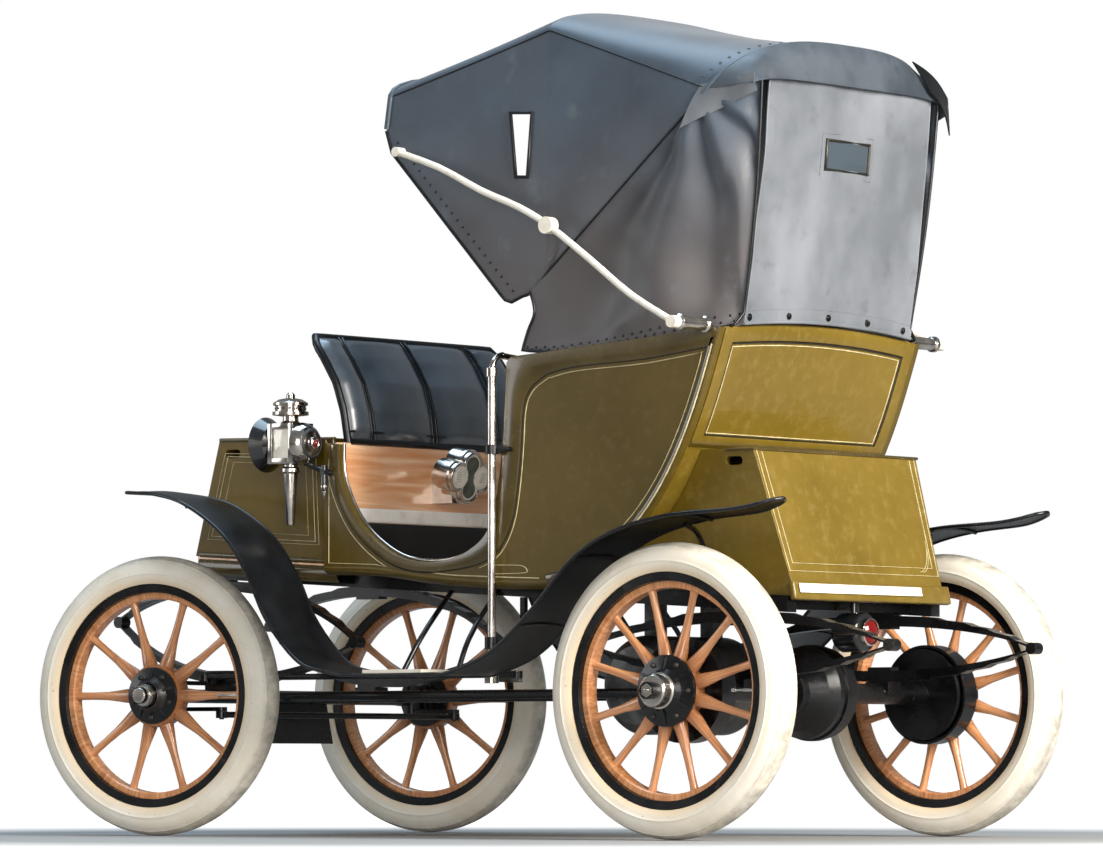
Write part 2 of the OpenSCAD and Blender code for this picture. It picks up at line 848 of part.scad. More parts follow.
// A full-elliptic spring: its two eyes in side view, clamped on its axle and under the rail
module spring(x, front_eye, rear_eye) {
  pack = leaf_n * leaf_t;
  low = seat_foot + pack + 1;
  high = rail_foot(x) - gap - pack - 6;
  ends = (front_eye[1] + rear_eye[1]) / 8;
  function arm(eye, share, z) = [x + (eye[0] - x) * share, (z - ends) / 0.75];
  steps = 40;
  clamp = 45;
  lower = bezier(rear_eye, arm(rear_eye, 0.45, low), arm(front_eye, 0.45, low), front_eye, steps);
  upper = bezier(front_eye, arm(front_eye, 0.55, high), arm(rear_eye, 0.55, high), rear_eye, steps);
  near = rail_y - leaf_w / 2;
  far = rail_y + leaf_w / 2;
  both_sides() {
    across(leaf_pack(lower), near, far);
    across(leaf_pack(upper), near, far);
    for (e = [front_eye, rear_eye])
      rod([e[0], near, e[1]], [e[0], far, e[1]], eye_r);
    across([
      [x - clamp, high - 8], [x + clamp, high - 8],
      [x + clamp, rail_foot(x + clamp) - gap], [x - clamp, rail_foot(x - clamp) - gap]
    ], near, far);
    translate([x - 40, near, seat_foot])
      cube([80, leaf_w, pack + 12]);
  }
}

module front_springs() {
  color(black)
    spring(front_x, [front_x + front_spring_ahead, front_nose_z], [front_x - spring_reach, front_tail_z]);
}

module rear_springs() {
  color(black)
    spring(rear_x, [rear_x + spring_reach, rear_nose_z], [rear_x - rear_spring_behind, rear_tail_z]);
}

boss_h = 60;
module front_axle() {
  plate_top = axle_z - front_tube_r + 3;
  color(black)
    difference() {
      union() {
        rod([front_x, -kingpin_y, axle_z], [front_x, kingpin_y, axle_z], front_tube_r);
        for (side = [-1, 1]) {
          rod([front_x, side * kingpin_y, axle_z - boss_h / 2], [front_x, side * kingpin_y, axle_z + boss_h / 2], 25);
          translate([front_x - 40, side * rail_y - 30, axle_z])
            cube([80, 60, seat_foot - axle_z - gap]);
        }
        translate([front_x - 2, 0, 0])
          rotate([90, 0, 90])
            linear_extrude(4)
              polygon([[-130, plate_top], [-160, plate_top - 120], [160, plate_top - 120], [130, plate_top]]);
      }
      for (side = [-1, 1])
        translate([front_x, side * kingpin_y, 0])
          cylinder(h = 2 * axle_z, r = kingpin_r + gap);
    }
}

hub_inner = drum_w + nave_w / 2 + flange_t;
reach_r = 14;

module rear_axle() {
  plate_out = track / 2 - hub_inner - 6;
  plate_in = plate_out - 14;
  neck_half = 130;
  color(black) {
    translate([rear_x, 0, axle_z])
      turned([
        [0, -neck_half], [diff_r * 0.5, -neck_half], [diff_r * 0.5, -100], [diff_r * 0.8, -66], [diff_r * 0.96, -40],
        [diff_r * 0.96, -12], [diff_r, -12], [diff_r, 12], [diff_r * 0.96, 12],
        [diff_r * 0.96, 40], [diff_r * 0.8, 66], [diff_r * 0.5, 100], [diff_r * 0.5, neck_half], [0, neck_half]
      ]);
    for (side = [-1, 1]) {
      rod([rear_x, side * (neck_half + gap), axle_z], [rear_x, side * (plate_in - gap), axle_z], rear_tube_r);
      rod([rear_x, side * plate_in, axle_z], [rear_x, side * plate_out, axle_z], drum_r - 12);
      rod([rear_x, side * (plate_out - 1), axle_z], [rear_x, side * (track / 2 + 60), axle_z], stub_r + 6);
      translate([rear_x - 40, side * rail_y - 30, axle_z])
        cube([80, 60, seat_foot - axle_z - gap]);
      rod([rear_x + rear_tube_r + gap, side * reach_y, axle_z],
        [front_x - front_tube_r - gap, side * reach_y, axle_z], reach_r);
    }
  }
}

motor_z = 430;
module motor() {
  x = rear_x + motor_ahead;
  end = rail_y - motor_gap;
  r = motor_r;
  color("#8b8d8e") {
    translate([x, 0, motor_z])
      turned([
        [0, -end - 22], [r * 0.45, -end - 22], [r * 0.45, -end - 2], [r * 0.8, -end + 4], [r * 0.95, -end + 24],
        [r, -end + 40], [r, end - 40], [r * 0.95, end - 24], [r * 0.8, end - 4], [r * 0.45, end + 2],
        [r * 0.45, end + 22], [0, end + 22]
      ]);
    for (y = [-end + 90, end - 90])
      translate([x - 25, y - 20, motor_z])
        cube([50, 40, rail_foot(x) + 6 - gap - motor_z]);
  }
}

module batteries() {
  front_rear = front_box_x + box_t + 20;
  rear_rear = -rear_box_top_x + 4;
  front_half = front_box_half - box_t - battery_gap;
  rear_half = rear_box_foot_half - box_t - battery_gap / 2;
  color("#3a3a38") {
    translate([front_rear, -front_half, base(front_rear + front_battery_l) + floor_t + gap])
      cube([front_battery_l, 2 * front_half, battery_h]);
    translate([rear_rear, -rear_half, base(rear_rear + rear_battery_l) + box_t + gap])
      cube([rear_battery_l, 2 * rear_half, battery_h]);
  }
}

// Steering

arm_t = 12;
ear_t = 14;
ear_gap = 0.5;
ear_top = axle_z + boss_h / 2 + ear_gap + ear_t;
ear_foot = axle_z - boss_h / 2 - ear_gap - ear_t;
stub_end = kingpin_in + 70;

// Flat arm from the kingpin to its pin, at angle a from +X
module steering_arm(a, length, z) {
  rotate([0, 0, a])
    translate([0, -14, z])
      cube([length, 28, arm_t]);
  translate([length * cos(a), length * sin(a), z])
    cylinder(h = arm_t, r = 16);
}

// Knuckle in its own frame: kingpin at the origin, wheel on +Y
module knuckle() {
  plate_y = 34;
  translate([0, 0, ear_foot - 4])
    cylinder(h = ear_top - ear_foot + 8, r = kingpin_r);
  for (z = [ear_foot, ear_top - ear_t]) {
    translate([0, 0, z])
      cylinder(h = ear_t, r = 25);
    translate([-25, 0, z])
      cube([50, plate_y + 8, ear_t]);
  }
  translate([-25, plate_y, ear_foot])
    cube([50, 14, ear_top - ear_foot]);
  rod([0, plate_y + 5, axle_z], [0, stub_end, axle_z], stub_r);
}

module at_kingpin(side) {
  translate([front_x, side * kingpin_y, 0])
    rotate([0, 0, steer_rest])
      children();
}

link_h = 20;
tie_z = ear_foot;
drag_z = ear_top - arm_t;

module knuckle_left() {
  color(black)
    at_kingpin(1) {
      knuckle();
      steering_arm(180, tie_arm, tie_z);
      translate([-tie_arm, 0, tie_z - link_h - 4])
        cylinder(h = link_h + 5, r = pin_r);
      steering_arm(-90, drag_arm, drag_z);
      translate([0, -drag_arm, drag_z + arm_t - 1])
        cylinder(h = link_h + 5, r = pin_r);
    }
}

module knuckle_right() {
  color(black)
    at_kingpin(-1) {
      mirror([0, 1, 0])
        knuckle();
      steering_arm(180, tie_arm, tie_z);
      translate([-tie_arm, 0, tie_z - link_h - 4])
        cylinder(h = link_h + 5, r = pin_r);
    }
}

// Rod with an eye at each end, for the link pins
module link(a, b) {
  color(black)
    difference() {
      union() {
        rod(a, b, link_r);
        for (e = [a, b])
          translate(e - [0, 0, link_h / 2])
            cylinder(h = link_h, r = 17);
      }
      for (e = [a, b])
        translate(e - [0, 0, link_h])
          cylinder(h = 2 * link_h, r = pin_r + gap);
    }
}

tie_pin = [front_x - tie_arm * cos(steer_rest), -tie_arm * sin(steer_rest)];
drag_pin = [drag_arm * sin(steer_rest), -drag_arm * cos(steer_rest)];

module tie_rod() {
  z = tie_z - gap - link_h / 2;
  link([tie_pin[0], kingpin_y + tie_pin[1], z], [tie_pin[0], -kingpin_y + tie_pin[1], z]);
}

module drag_link() {
  z = drag_z + arm_t + gap + link_h / 2;
  link([front_x + drag_pin[0], kingpin_y + drag_pin[1], z], [-tiller_x + drag_pin[0], tiller_y + drag_pin[1], z]);
}

// Tiller's handle: a gooseneck from the post's top, then a bar across the driver's lap
handle_r = 9;
neck_r = 45;
handle_end = [-10, -330, 22];

module tiller() {
  top = base_z + post_top_h;
  neck_end = [0, -neck_r, neck_r];
  grip_start = neck_end + (handle_end - neck_end) * 0.62;
  color(nickel)
    translate([-tiller_x, tiller_y, 0]) {
      translate([0, 0, drag_z])
        cylinder(h = top - drag_z, r = post_r);
      translate([0, 0, drag_z - 4])
        cylinder(h = arm_t + 10, r = post_r + 8);
      rotate([0, 0, steer_rest]) {
        steering_arm(-90, drag_arm, drag_z);
        translate([0, -drag_arm, drag_z + arm_t - 1])
          cylinder(h = link_h + 5, r = pin_r);
      }
      translate([0, 0, top - 16])
        cylinder(h = 24, r = post_r + 5);
      translate([0, 0, top]) {
        translate([0, -neck_r, 0])
          rotate([90, 0, 90])
            rotate_extrude(angle = 90)
              translate([neck_r, 0])
                circle(handle_r);
        translate(neck_end)
          sphere(handle_r + 2);
        rod(neck_end, handle_end, handle_r);
        rod(grip_start, handle_end, handle_r + 5);
      }
    }
}

socket_z = 530;
socket_h = 35;
collar_h = 345;
module tiller_brackets() {
  bar_y = rail_y + 10;
  rail_z = rail_foot(-tiller_x - 8) - gap;
  collar_z = base_z + collar_h;
  module ring(z, h) {
    translate([-tiller_x, tiller_y, z])
      difference() {
        cylinder(h = h, r = post_r + 8);
        translate([0, 0, -1])
          cylinder(h = h + 2, r = post_r + gap);
      }
  }
  color(black) {
    ring(socket_z, socket_h);
    translate([-tiller_x - 8, bar_y, socket_z + 8])
      cube([16, tiller_y - post_r - 2 - bar_y, 16]);
    translate([-tiller_x - 8, bar_y - 12, socket_z + 8])
      cube([16, 16, rail_z - socket_z - 8]);
    ring(collar_z, 26);
    rod([-tiller_x - post_r - 3, tiller_y, collar_z + 13], [-tiller_x - 60, tiller_y, collar_z + 13], 6);
    rod([-tiller_x - 58, tiller_y + 4, collar_z + 13], [-tiller_x - 58, tub_half + gap, collar_z + 13], 6);
  }
}

// Wheels, in their own frame: middle at the origin, outer face on +Y

module tyre() {
  color(ivory)
    rotate([-90, 0, 0])
      rotate_extrude($fn = 96)
        intersection() {
          translate([wheel_d / 2 - tyre_w / 2, 0])
            circle(tyre_w / 2);
          translate([rim_r + gap, -tyre_w])
            square([tyre_w, 2 * tyre_w]);
        }
}

module wood_wheel(count) {
  foot = felloe_r - felloe_t;
  spoke = [
    [0, nave_r - 12], [spoke_root_r, nave_r - 12], [spoke_root_r, nave_r + 2],
    [(spoke_root_r + spoke_waist_r) / 2, nave_r + 26], [spoke_waist_r + 1, nave_r + 62],
    [spoke_waist_r, (nave_r + foot) / 2 + 20], [spoke_waist_r + 0.5, foot - 18], [spoke_tip_r, foot + 6], [0, foot + 6]
  ];
  color(oak)
    difference() {
      union() {
        turned([[foot, -felloe_w / 2], [felloe_r, -felloe_w / 2], [felloe_r, felloe_w / 2], [foot, felloe_w / 2]]);
        rod([0, -nave_w / 2, 0], [0, nave_w / 2, 0], nave_r);
        for (k = [0:count - 1])
          rotate([0, 360 * (k + 0.5) / count, 0])
            rotate_extrude($fn = 20)
              polygon(spoke);
      }
      rod([0, -nave_w, 0], [0, nave_w, 0], sleeve_r + gap);
    }
}

module rim_band() {
  foot = rim_r - rim_t;
  turned([[foot, -rim_w / 2], [rim_r, -rim_w / 2], [rim_r, rim_w / 2], [foot, rim_w / 2]]);
}

// Hub turned about the stub axle: flanges clamp the nave, a cap closes the outer end
module hub(flange_r, bore, cap_r, cap_l, nut_r, nut_l, back, ribs) {
  in = nave_w / 2 + gap;
  out = in + flange_t;
  bore_end = 76;
  turned([
    [bore, -back], [sleeve_r + 10, -back], [sleeve_r + 10, -out], [flange_r, -out], [flange_r, -in],
    [sleeve_r, -in], [sleeve_r, in], [flange_r, in], [flange_r, out], [cap_r + 14, out + 8], [cap_r, out + 20],
    [cap_r, out + cap_l], [nut_r, out + cap_l], [nut_r, out + cap_l + nut_l], [0, out + cap_l + nut_l],
    [0, bore_end], [bore, bore_end]
  ]);
  for (k = [0:ribs - 1])
    rotate([0, 360 * k / ribs, 0])
      translate([-4, 0, 0])
        rotate([90, 0, 90])
          linear_extrude(8)
            polygon([
              [out - 1, cap_r - 2], [out - 1, flange_r - 6], [out + 3, flange_r - 6], [out + 14, cap_r + 16],
              [out + 26, cap_r - 2]
            ]);
}

module front_iron() {
  color(black) {
    rim_band();
    hub(front_flange_r, stub_r + gap, 32, 48, 24, 22, 50, front_ribs);
  }
}

module rear_iron() {
  wall = 8;
  near = nave_w / 2 + gap + flange_t - 1;
  color(black) {
    rim_band();
    hub(rear_flange_r, stub_r + 6 + gap, 45, 62, 24, 24, near + 4, rear_ribs);
    turned([
      [sleeve_r, -near - wall], [drum_r - wall, -near - wall], [drum_r - wall, -near - drum_w],
      [drum_r, -near - drum_w], [drum_r, -near], [sleeve_r, -near]
    ]);
  }
}

module front_wheel(side) {
  at_kingpin(side)
    translate([0, side * kingpin_in, axle_z])
      mirror([0, side < 0 ? 1 : 0, 0])
        children();
}

module rear_wheel(side) {
  translate([rear_x, side * track / 2, axle_z])
    mirror([0, side < 0 ? 1 : 0, 0])
      children();
}

module tyre_front_left() { front_wheel(1) tyre(); }
module wood_front_left() { front_wheel(1) wood_wheel(front_spokes); }
module iron_front_left() { front_wheel(1) front_iron(); }
module tyre_front_right() { front_wheel(-1) tyre(); }
module wood_front_right() { front_wheel(-1) wood_wheel(front_spokes); }
module iron_front_right() { front_wheel(-1) front_iron(); }
module tyre_rear_left() { rear_wheel(1) tyre(); }
module wood_rear_left() { rear_wheel(1) wood_wheel(rear_spokes); }
module iron_rear_left() { rear_wheel(1) rear_iron(); }
module tyre_rear_right() { rear_wheel(-1) tyre(); }
module wood_rear_right() { rear_wheel(-1) wood_wheel(rear_spokes); }
module iron_rear_right() { rear_wheel(-1) rear_iron(); }

tub_sides();
rear_panel();
floor_boards();
front_box();
rear_box();
dash();
toe_board();
seat_box();
seat_cushion();
seat_back();
hood_sides();
hood_top();
rear_curtain();
hood_bows();
hood_irons();
prop_rollers();
fenders();
step_pads();
lamps();
tail_lamp();
meter();
frame_rails();
front_axle();
front_springs();
rear_axle();
rear_springs();
motor();
batteries();
knuckle_left();
knuckle_right();
tie_rod();
drag_link();
tiller();
tiller_brackets();
tyre_front_left();
wood_front_left();
iron_front_left();
tyre_front_right();
wood_front_right();
iron_front_right();
tyre_rear_left();
wood_rear_left();
iron_rear_left();
tyre_rear_right();
wood_rear_right();
iron_rear_right();
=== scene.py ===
import json
import math

import bpy
from mathutils import Matrix, Vector, noise

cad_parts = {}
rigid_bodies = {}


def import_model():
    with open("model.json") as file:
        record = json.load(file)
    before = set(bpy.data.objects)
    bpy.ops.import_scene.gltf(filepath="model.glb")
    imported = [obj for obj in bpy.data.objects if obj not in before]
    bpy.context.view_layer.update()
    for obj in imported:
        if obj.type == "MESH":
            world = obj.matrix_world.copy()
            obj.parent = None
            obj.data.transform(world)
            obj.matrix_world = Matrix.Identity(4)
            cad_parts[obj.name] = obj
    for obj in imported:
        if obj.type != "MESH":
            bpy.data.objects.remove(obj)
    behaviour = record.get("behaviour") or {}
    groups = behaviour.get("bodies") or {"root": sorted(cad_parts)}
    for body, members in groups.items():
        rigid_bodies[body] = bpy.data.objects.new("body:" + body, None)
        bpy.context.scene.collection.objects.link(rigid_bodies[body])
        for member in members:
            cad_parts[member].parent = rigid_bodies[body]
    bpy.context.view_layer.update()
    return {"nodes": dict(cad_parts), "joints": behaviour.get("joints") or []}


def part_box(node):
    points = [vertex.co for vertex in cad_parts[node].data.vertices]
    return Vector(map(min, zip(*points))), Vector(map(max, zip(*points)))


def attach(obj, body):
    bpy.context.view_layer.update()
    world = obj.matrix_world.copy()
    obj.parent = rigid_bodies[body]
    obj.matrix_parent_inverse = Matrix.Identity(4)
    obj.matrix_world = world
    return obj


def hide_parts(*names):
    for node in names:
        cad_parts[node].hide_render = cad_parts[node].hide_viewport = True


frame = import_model()
nodes = frame["nodes"]
print("frame:", len(nodes), "solids loaded")


# small helpers, one for each habit of work

def pick(*objs):
    bpy.ops.object.select_all(action="DESELECT")
    for obj in objs:
        obj.select_set(True)
    bpy.context.view_layer.objects.active = objs[0]


def fresh(name):  # the primitive that was just added
    obj = bpy.context.object
    obj.name = name
    obj.data.name = name
    return obj


def added(name, add, **settings):  # a new primitive
    bpy.ops.object.select_all(action="DESELECT")
    add(**settings)
    return fresh(name)


def applyMods(obj):
    pick(obj)
    for mod in list(obj.modifiers):
        bpy.ops.object.modifier_apply(modifier=mod.name)
    return obj


def modify(obj, kind, **settings):  # one modifier, set up and applied
    mod = obj.modifiers.new(kind, kind)
    for title, value in settings.items():
        setattr(mod, title, value)
    return applyMods(obj)


def baked(obj):  # its place goes into the mesh
    pick(obj)
    bpy.ops.object.transform_apply(location=True, rotation=True, scale=True)
    return obj


def settle(obj, place):
    obj.matrix_world = place
    return baked(obj)


def joined(name, objs):
    pick(*objs)
    if len(objs) > 1:
        bpy.ops.object.join()
    return fresh(name)


def soften(obj, angle=35):
    pick(obj)
    bpy.ops.object.shade_smooth_by_angle(angle=math.radians(angle))
    return obj


def editAll(obj):
    pick(obj)
    bpy.ops.object.mode_set(mode="EDIT")
    bpy.ops.mesh.select_all(action="SELECT")


def objectMode():
    bpy.ops.object.mode_set(mode="OBJECT")


def cleanNormals(obj):
    editAll(obj)
    bpy.ops.mesh.remove_doubles(threshold=0.00002)
    bpy.ops.mesh.normals_make_consistent(inside=False)
    objectMode()
    return obj


def sheetBy(name, columns, rows, place):  # a grid laid on the surface that place(u, v) gives
    obj = added(name, bpy.ops.mesh.primitive_grid_add, x_subdivisions=columns, y_subdivisions=rows, size=1)
    for vert in obj.data.vertices:
        vert.co = place(vert.co.x + 0.5, vert.co.y + 0.5)
    return cleanNormals(obj)


def thicken(obj, thickness, offset=0.0):
    return modify(obj, "SOLIDIFY", thickness=thickness, offset=offset)


def bothSides(obj):
    return modify(obj, "MIRROR", use_axis=(False, True, False), use_mirror_merge=False)


def rounded(obj, width, segments=2, angle=35):
    return modify(obj, "BEVEL", width=width, segments=segments, limit_method="ANGLE",
                  angle_limit=math.radians(angle))


def tubeAlong(name, points, radius, closed=False, ring=2, bent=False):
    curve = added(name, bpy.ops.curve.primitive_bezier_curve_add).data
    curve.dimensions = "3D"
    spline = curve.splines[0]
    spline.bezier_points.add(len(points) - 2)
    for knot, point in zip(spline.bezier_points, points):
        knot.handle_left_type = knot.handle_right_type = "AUTO" if bent else "VECTOR"
        knot.co = point
    spline.use_cyclic_u = closed
    curve.bevel_depth = radius
    curve.bevel_resolution = ring
    curve.resolution_u = 4 if bent else 1
    curve.use_fill_caps = True
    bpy.ops.object.convert(target="MESH")
    return soften(bpy.context.object, 50)


def turned(name, profile, steps=32):  # [radius, height] spun round Z
    obj = added(name, bpy.ops.mesh.primitive_plane_add, size=0.01)
    editAll(obj)
    bpy.ops.mesh.merge(type="CENTER")
    bpy.ops.transform.translate(value=(profile[0][0], 0, profile[0][1]))
    for last, point in zip(profile, profile[1:]):
        step = (point[0] - last[0], 0, point[1] - last[1])
        bpy.ops.mesh.extrude_vertices_move(TRANSFORM_OT_translate={"value": step})
    bpy.ops.mesh.select_all(action="SELECT")
    bpy.ops.mesh.spin(steps=steps, angle=2 * math.pi, center=(0, 0, 0), axis=(0, 0, 1))
    objectMode()
    return soften(cleanNormals(obj), 32)


def lofted(name, rings, sides=12):  # an ellipse extruded and scaled ring by ring up Z: [z, half x, half y]
    obj = added(name, bpy.ops.mesh.primitive_circle_add, vertices=sides, radius=1, fill_type="NGON")
    editAll(obj)
    bpy.ops.transform.resize(value=(rings[0][1], rings[0][2], 1))
    bpy.ops.transform.translate(value=(0, 0, rings[0][0]))
    for last, ring in zip(rings, rings[1:]):
        bpy.ops.mesh.extrude_region_move(TRANSFORM_OT_translate={"value": (0, 0, ring[0] - last[0])})
        bpy.ops.transform.resize(value=(ring[1] / last[1], ring[2] / last[2], 1),
                                 center_override=(0, 0, ring[0]))
    objectMode()
    return soften(cleanNormals(obj), 40)


def block(name, size, bevel=0.002, segments=2):
    obj = added(name, bpy.ops.mesh.primitive_cube_add, size=1)
    obj.scale = size
    bpy.ops.object.transform_apply(scale=True)
    editAll(obj)
    bpy.ops.mesh.bevel(offset=bevel, segments=segments, affect="EDGES")
    objectMode()
    return soften(obj, 40)


def plateFrom(name, outline, onPlane, pull):  # an outline filled, then extruded by pull
    obj = added(name, bpy.ops.mesh.primitive_circle_add, vertices=len(outline), fill_type="NGON")
    for vert, (a, b) in zip(obj.data.vertices, outline):
        vert.co = onPlane(a, b)
    editAll(obj)
    bpy.ops.mesh.extrude_region_move(TRANSFORM_OT_translate={"value": pull})
    objectMode()
    return cleanNormals(obj)


def copies(name, model, places):  # one model, a copy with its own mesh at each place
    made = []
    for place in places:
        pick(model)
        bpy.ops.object.duplicate()
        copy = bpy.context.object
        copy.matrix_world = place
        made.append(copy)
    pick(model)
    bpy.ops.object.delete()
    return baked(joined(name, made))


def aimed(at, along, up="Y"):  # local Z along a direction
    return Matrix.Translation(Vector(at)) @ Vector(along).to_track_quat("Z", up).to_matrix().to_4x4()


def atSpots(name, model, spots):  # copies at points, each with the way it faces
    return copies(name, model, [aimed(spot, facing) for spot, facing in spots])


def dress(obj, finish, replaces=(), body="chassis"):
    obj.data.materials.clear()
    obj.data.materials.append(finishes[finish])
    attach(obj, body)
    if replaces:
        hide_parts(*replaces)
    return obj


def lerp(a, b, t):
    return a + (b - a) * t


def ease(t):
    t = min(max(t, 0.0), 1.0)
    return t * t * (3 - 2 * t)


def between(table, t):  # straight interpolation in rows that start with their own place
    for low, high in zip(table, table[1:]):
        if t <= high[0]:
            share = (t - low[0]) / (high[0] - low[0])
            return [lerp(a, b, share) for a, b in zip(low[1:], high[1:])]
    return list(table[-1][1:])


def smoothLine(points, n):  # a curve through all the points, n steps from each to the next
    points = [Vector(p) for p in points]
    out = []
    for i in range(len(points) - 1):
        a, b = points[max(i - 1, 0)], points[i]
        c, d = points[i + 1], points[min(i + 2, len(points) - 1)]
        for k in range(n):
            t = k / n
            out.append(0.5 * (2 * b + (c - a) * t + (2 * a - 5 * b + 4 * c - d) * t * t
                              + (3 * b - a - 3 * c + d) * t * t * t))
    return out + [points[-1]]


def bezierLine(a, b, c, d, n):
    a, b, c, d = (Vector(p) for p in (a, b, c, d))
    line = []
    for i in range(n + 1):
        t = i / n
        s = 1 - t
        line.append(a * s ** 3 + b * 3 * s * s * t + c * 3 * s * t * t + d * t ** 3)
    return line


def offsetLine(points, distance):  # a plane curve moved to its left
    out = []
    for i, point in enumerate(points):
        run = points[min(i + 1, len(points) - 1)] - points[max(i - 1, 0)]
        run.normalize()
        out.append(point + Vector((-run.y, run.x)) * distance)
    return out


def pieceOf(points, start, end):  # the part of a line between two shares of its length
    spans = [(b - a).length for a, b in zip(points, points[1:])]
    total = sum(spans)
    done = 0.0
    out = []
    for point, span in zip(points, spans + [0]):
        if start <= done / total <= end:
            out.append(point)
        done += span
    return out


def alongLine(points, share):  # the point at a share of a line's length
    spans = [(b - a).length for a, b in zip(points, points[1:])]
    goal = share * sum(spans)
    for a, b, span in zip(points, points[1:], spans):
        if goal <= span:
            return a.lerp(b, goal / span)
        goal -= span
    return points[-1].copy()


def wrinkle(x, y, z, size):
    return noise.noise(Vector((x, y, z)) / size)


# nodes of materials

finishes = {}
groups = {}


def feed(node, inputs):  # a socket is linked, anything else becomes the input's value
    for title, value in inputs.items():
        if isinstance(value, bpy.types.NodeSocket):
            node.id_data.links.new(value, node.inputs[title])
        else:
            node.inputs[title].default_value = value
    return node


def nodeIn(tree, kind, inputs, **settings):
    node = tree.nodes.new("ShaderNode" + kind)
    for title, value in settings.items():
        setattr(node, title, value)
    return feed(node, inputs)


def mapped(tree, value, low, high, outLow, outHigh):
    return nodeIn(tree, "MapRange", {"Value": value, "From Min": low, "From Max": high,
                                     "To Min": outLow, "To Max": outHigh}).outputs[0]


def newFinish(name):
    finishes[name] = bpy.data.materials.new(name)
    finishes[name].use_nodes = True
    tree = finishes[name].node_tree
    return tree, tree.nodes["Principled BSDF"]


# camera, light and floor

stageSet = {
    "cameraPlace": (-11.630, 14.557, 0.197), "cameraAim": (0.6244, -0.7794, 0.0520),
    "lens": 210.6, "sensor": 36.0,
    "sky": 0.26, "skyTone": (0.80, 0.91, 1.0, 1), "groundTone": (1.0, 0.96, 0.90, 1),
    # softboxes: place, aim, width, power, tone
    "lights": [((-7.2, 1.2, 3.4), (0, 0, 1.1), 3.0, 1350, (1.0, 0.95, 0.88)),
               ((-6.2, 9.2, 2.4), (0, 0, 0.9), 4.5, 520, (1.0, 0.98, 0.95)),
               ((1.2, 0.0, 7.5), (0, 0, 1.2), 5.0, 470, (0.58, 0.80, 1.0)),
               ((7.5, 5.5, 3.0), (0, 0, 1.0), 4.0, 160, (0.95, 0.97, 1.0)), ],
    "floorTone": (0.28, 0.276, 0.272, 1),
    "floorGlow": (1.9, 3.6, 0.0, 1.0),  # from and to as distances, then the glow there
}


def setStage():
    camera = bpy.data.cameras.new("camera")
    camera.lens = stageSet["lens"]
    camera.sensor_width = stageSet["sensor"]
    camera.clip_end = 200
    eye = bpy.data.objects.new("camera", camera)
    bpy.context.scene.collection.objects.link(eye)
    eye.location = stageSet["cameraPlace"]
    eye.rotation_euler = Vector(stageSet["cameraAim"]).to_track_quat("-Z", "Y").to_euler()
    bpy.context.scene.camera = eye

    world = bpy.data.worlds.new("studio")
    bpy.context.scene.world = world
    world.use_nodes = True
    tree = world.node_tree
    tree.nodes.clear()
    where = nodeIn(tree, "TexCoord", {})
    split = nodeIn(tree, "SeparateXYZ", {0: where.outputs["Generated"]})
    ramp = nodeIn(tree, "ValToRGB", {0: split.outputs["Z"]})
    ramp.color_ramp.elements[0].color = stageSet["groundTone"]
    ramp.color_ramp.elements[1].color = stageSet["skyTone"]
    soft = nodeIn(tree, "Background", {"Color": ramp.outputs[0], "Strength": stageSet["sky"]})
    white = nodeIn(tree, "Background", {"Color": (1, 1, 1, 1)})
    path = nodeIn(tree, "LightPath", {})
    mix = nodeIn(tree, "MixShader", {0: path.outputs["Is Camera Ray"], 1: soft.outputs[0],
                                     2: white.outputs[0]})
    nodeIn(tree, "OutputWorld", {"Surface": mix.outputs[0]})

    for number, (place, aim, width, power, colour) in enumerate(stageSet["lights"]):
        lamp = bpy.data.lights.new("softbox" + str(number), "AREA")
        lamp.size = width
        lamp.energy = power
        lamp.color = colour
        box = bpy.data.objects.new("softbox" + str(number), lamp)
        bpy.context.scene.collection.objects.link(box)
        box.location = place
        box.rotation_euler = (Vector(aim) - Vector(place)).to_track_quat("-Z", "Y").to_euler()

    floor = added("floor", bpy.ops.mesh.primitive_grid_add, x_subdivisions=8, y_subdivisions=8, size=120)
    tree, paper = newFinish("floorPaper")
    where = nodeIn(tree, "TexCoord", {})
    far = nodeIn(tree, "VectorMath", {0: where.outputs["Object"]}, operation="LENGTH")
    glow = mapped(tree, far.outputs["Value"], *stageSet["floorGlow"])
    seen = nodeIn(tree, "LightPath", {})  # the glow lights nothing
    only = nodeIn(tree, "Math", {0: glow, 1: seen.outputs["Is Camera Ray"]}, operation="MULTIPLY")
    feed(paper, {"Base Color": stageSet["floorTone"], "Roughness": 0.7, "Emission Color": (1, 1, 1, 1),
                 "Emission Strength": only.outputs[0]})
    floor.data.materials.append(finishes["floorPaper"])
    bpy.context.scene.view_settings.view_transform = "Standard"


setStage()
print("stage: camera, lights and floor")


# finishes

def tone(code):  # a screen colour as linear light
    parts = [int(code[i:i + 2], 16) / 255 for i in (1, 3, 5)]
    return [p / 12.92 if p < 0.04045 else ((p + 0.055) / 1.055) ** 2.4 for p in parts] + [1.0]


def newGroup(name, numbers, outputs):  # takes a vector and some numbers
    group = bpy.data.node_groups.new(name, "ShaderNodeTree")
    group.interface.new_socket("Vector", in_out="INPUT", socket_type="NodeSocketVector")
    for title, start in numbers.items():
        socket = group.interface.new_socket(title, in_out="INPUT", socket_type="NodeSocketFloat")
        socket.default_value = start
    for title in outputs:
        group.interface.new_socket(title, in_out="OUTPUT", socket_type="NodeSocketFloat")
    groups[name] = group
    return group, group.nodes.new("NodeGroupInput").outputs, group.nodes.new("NodeGroupOutput")


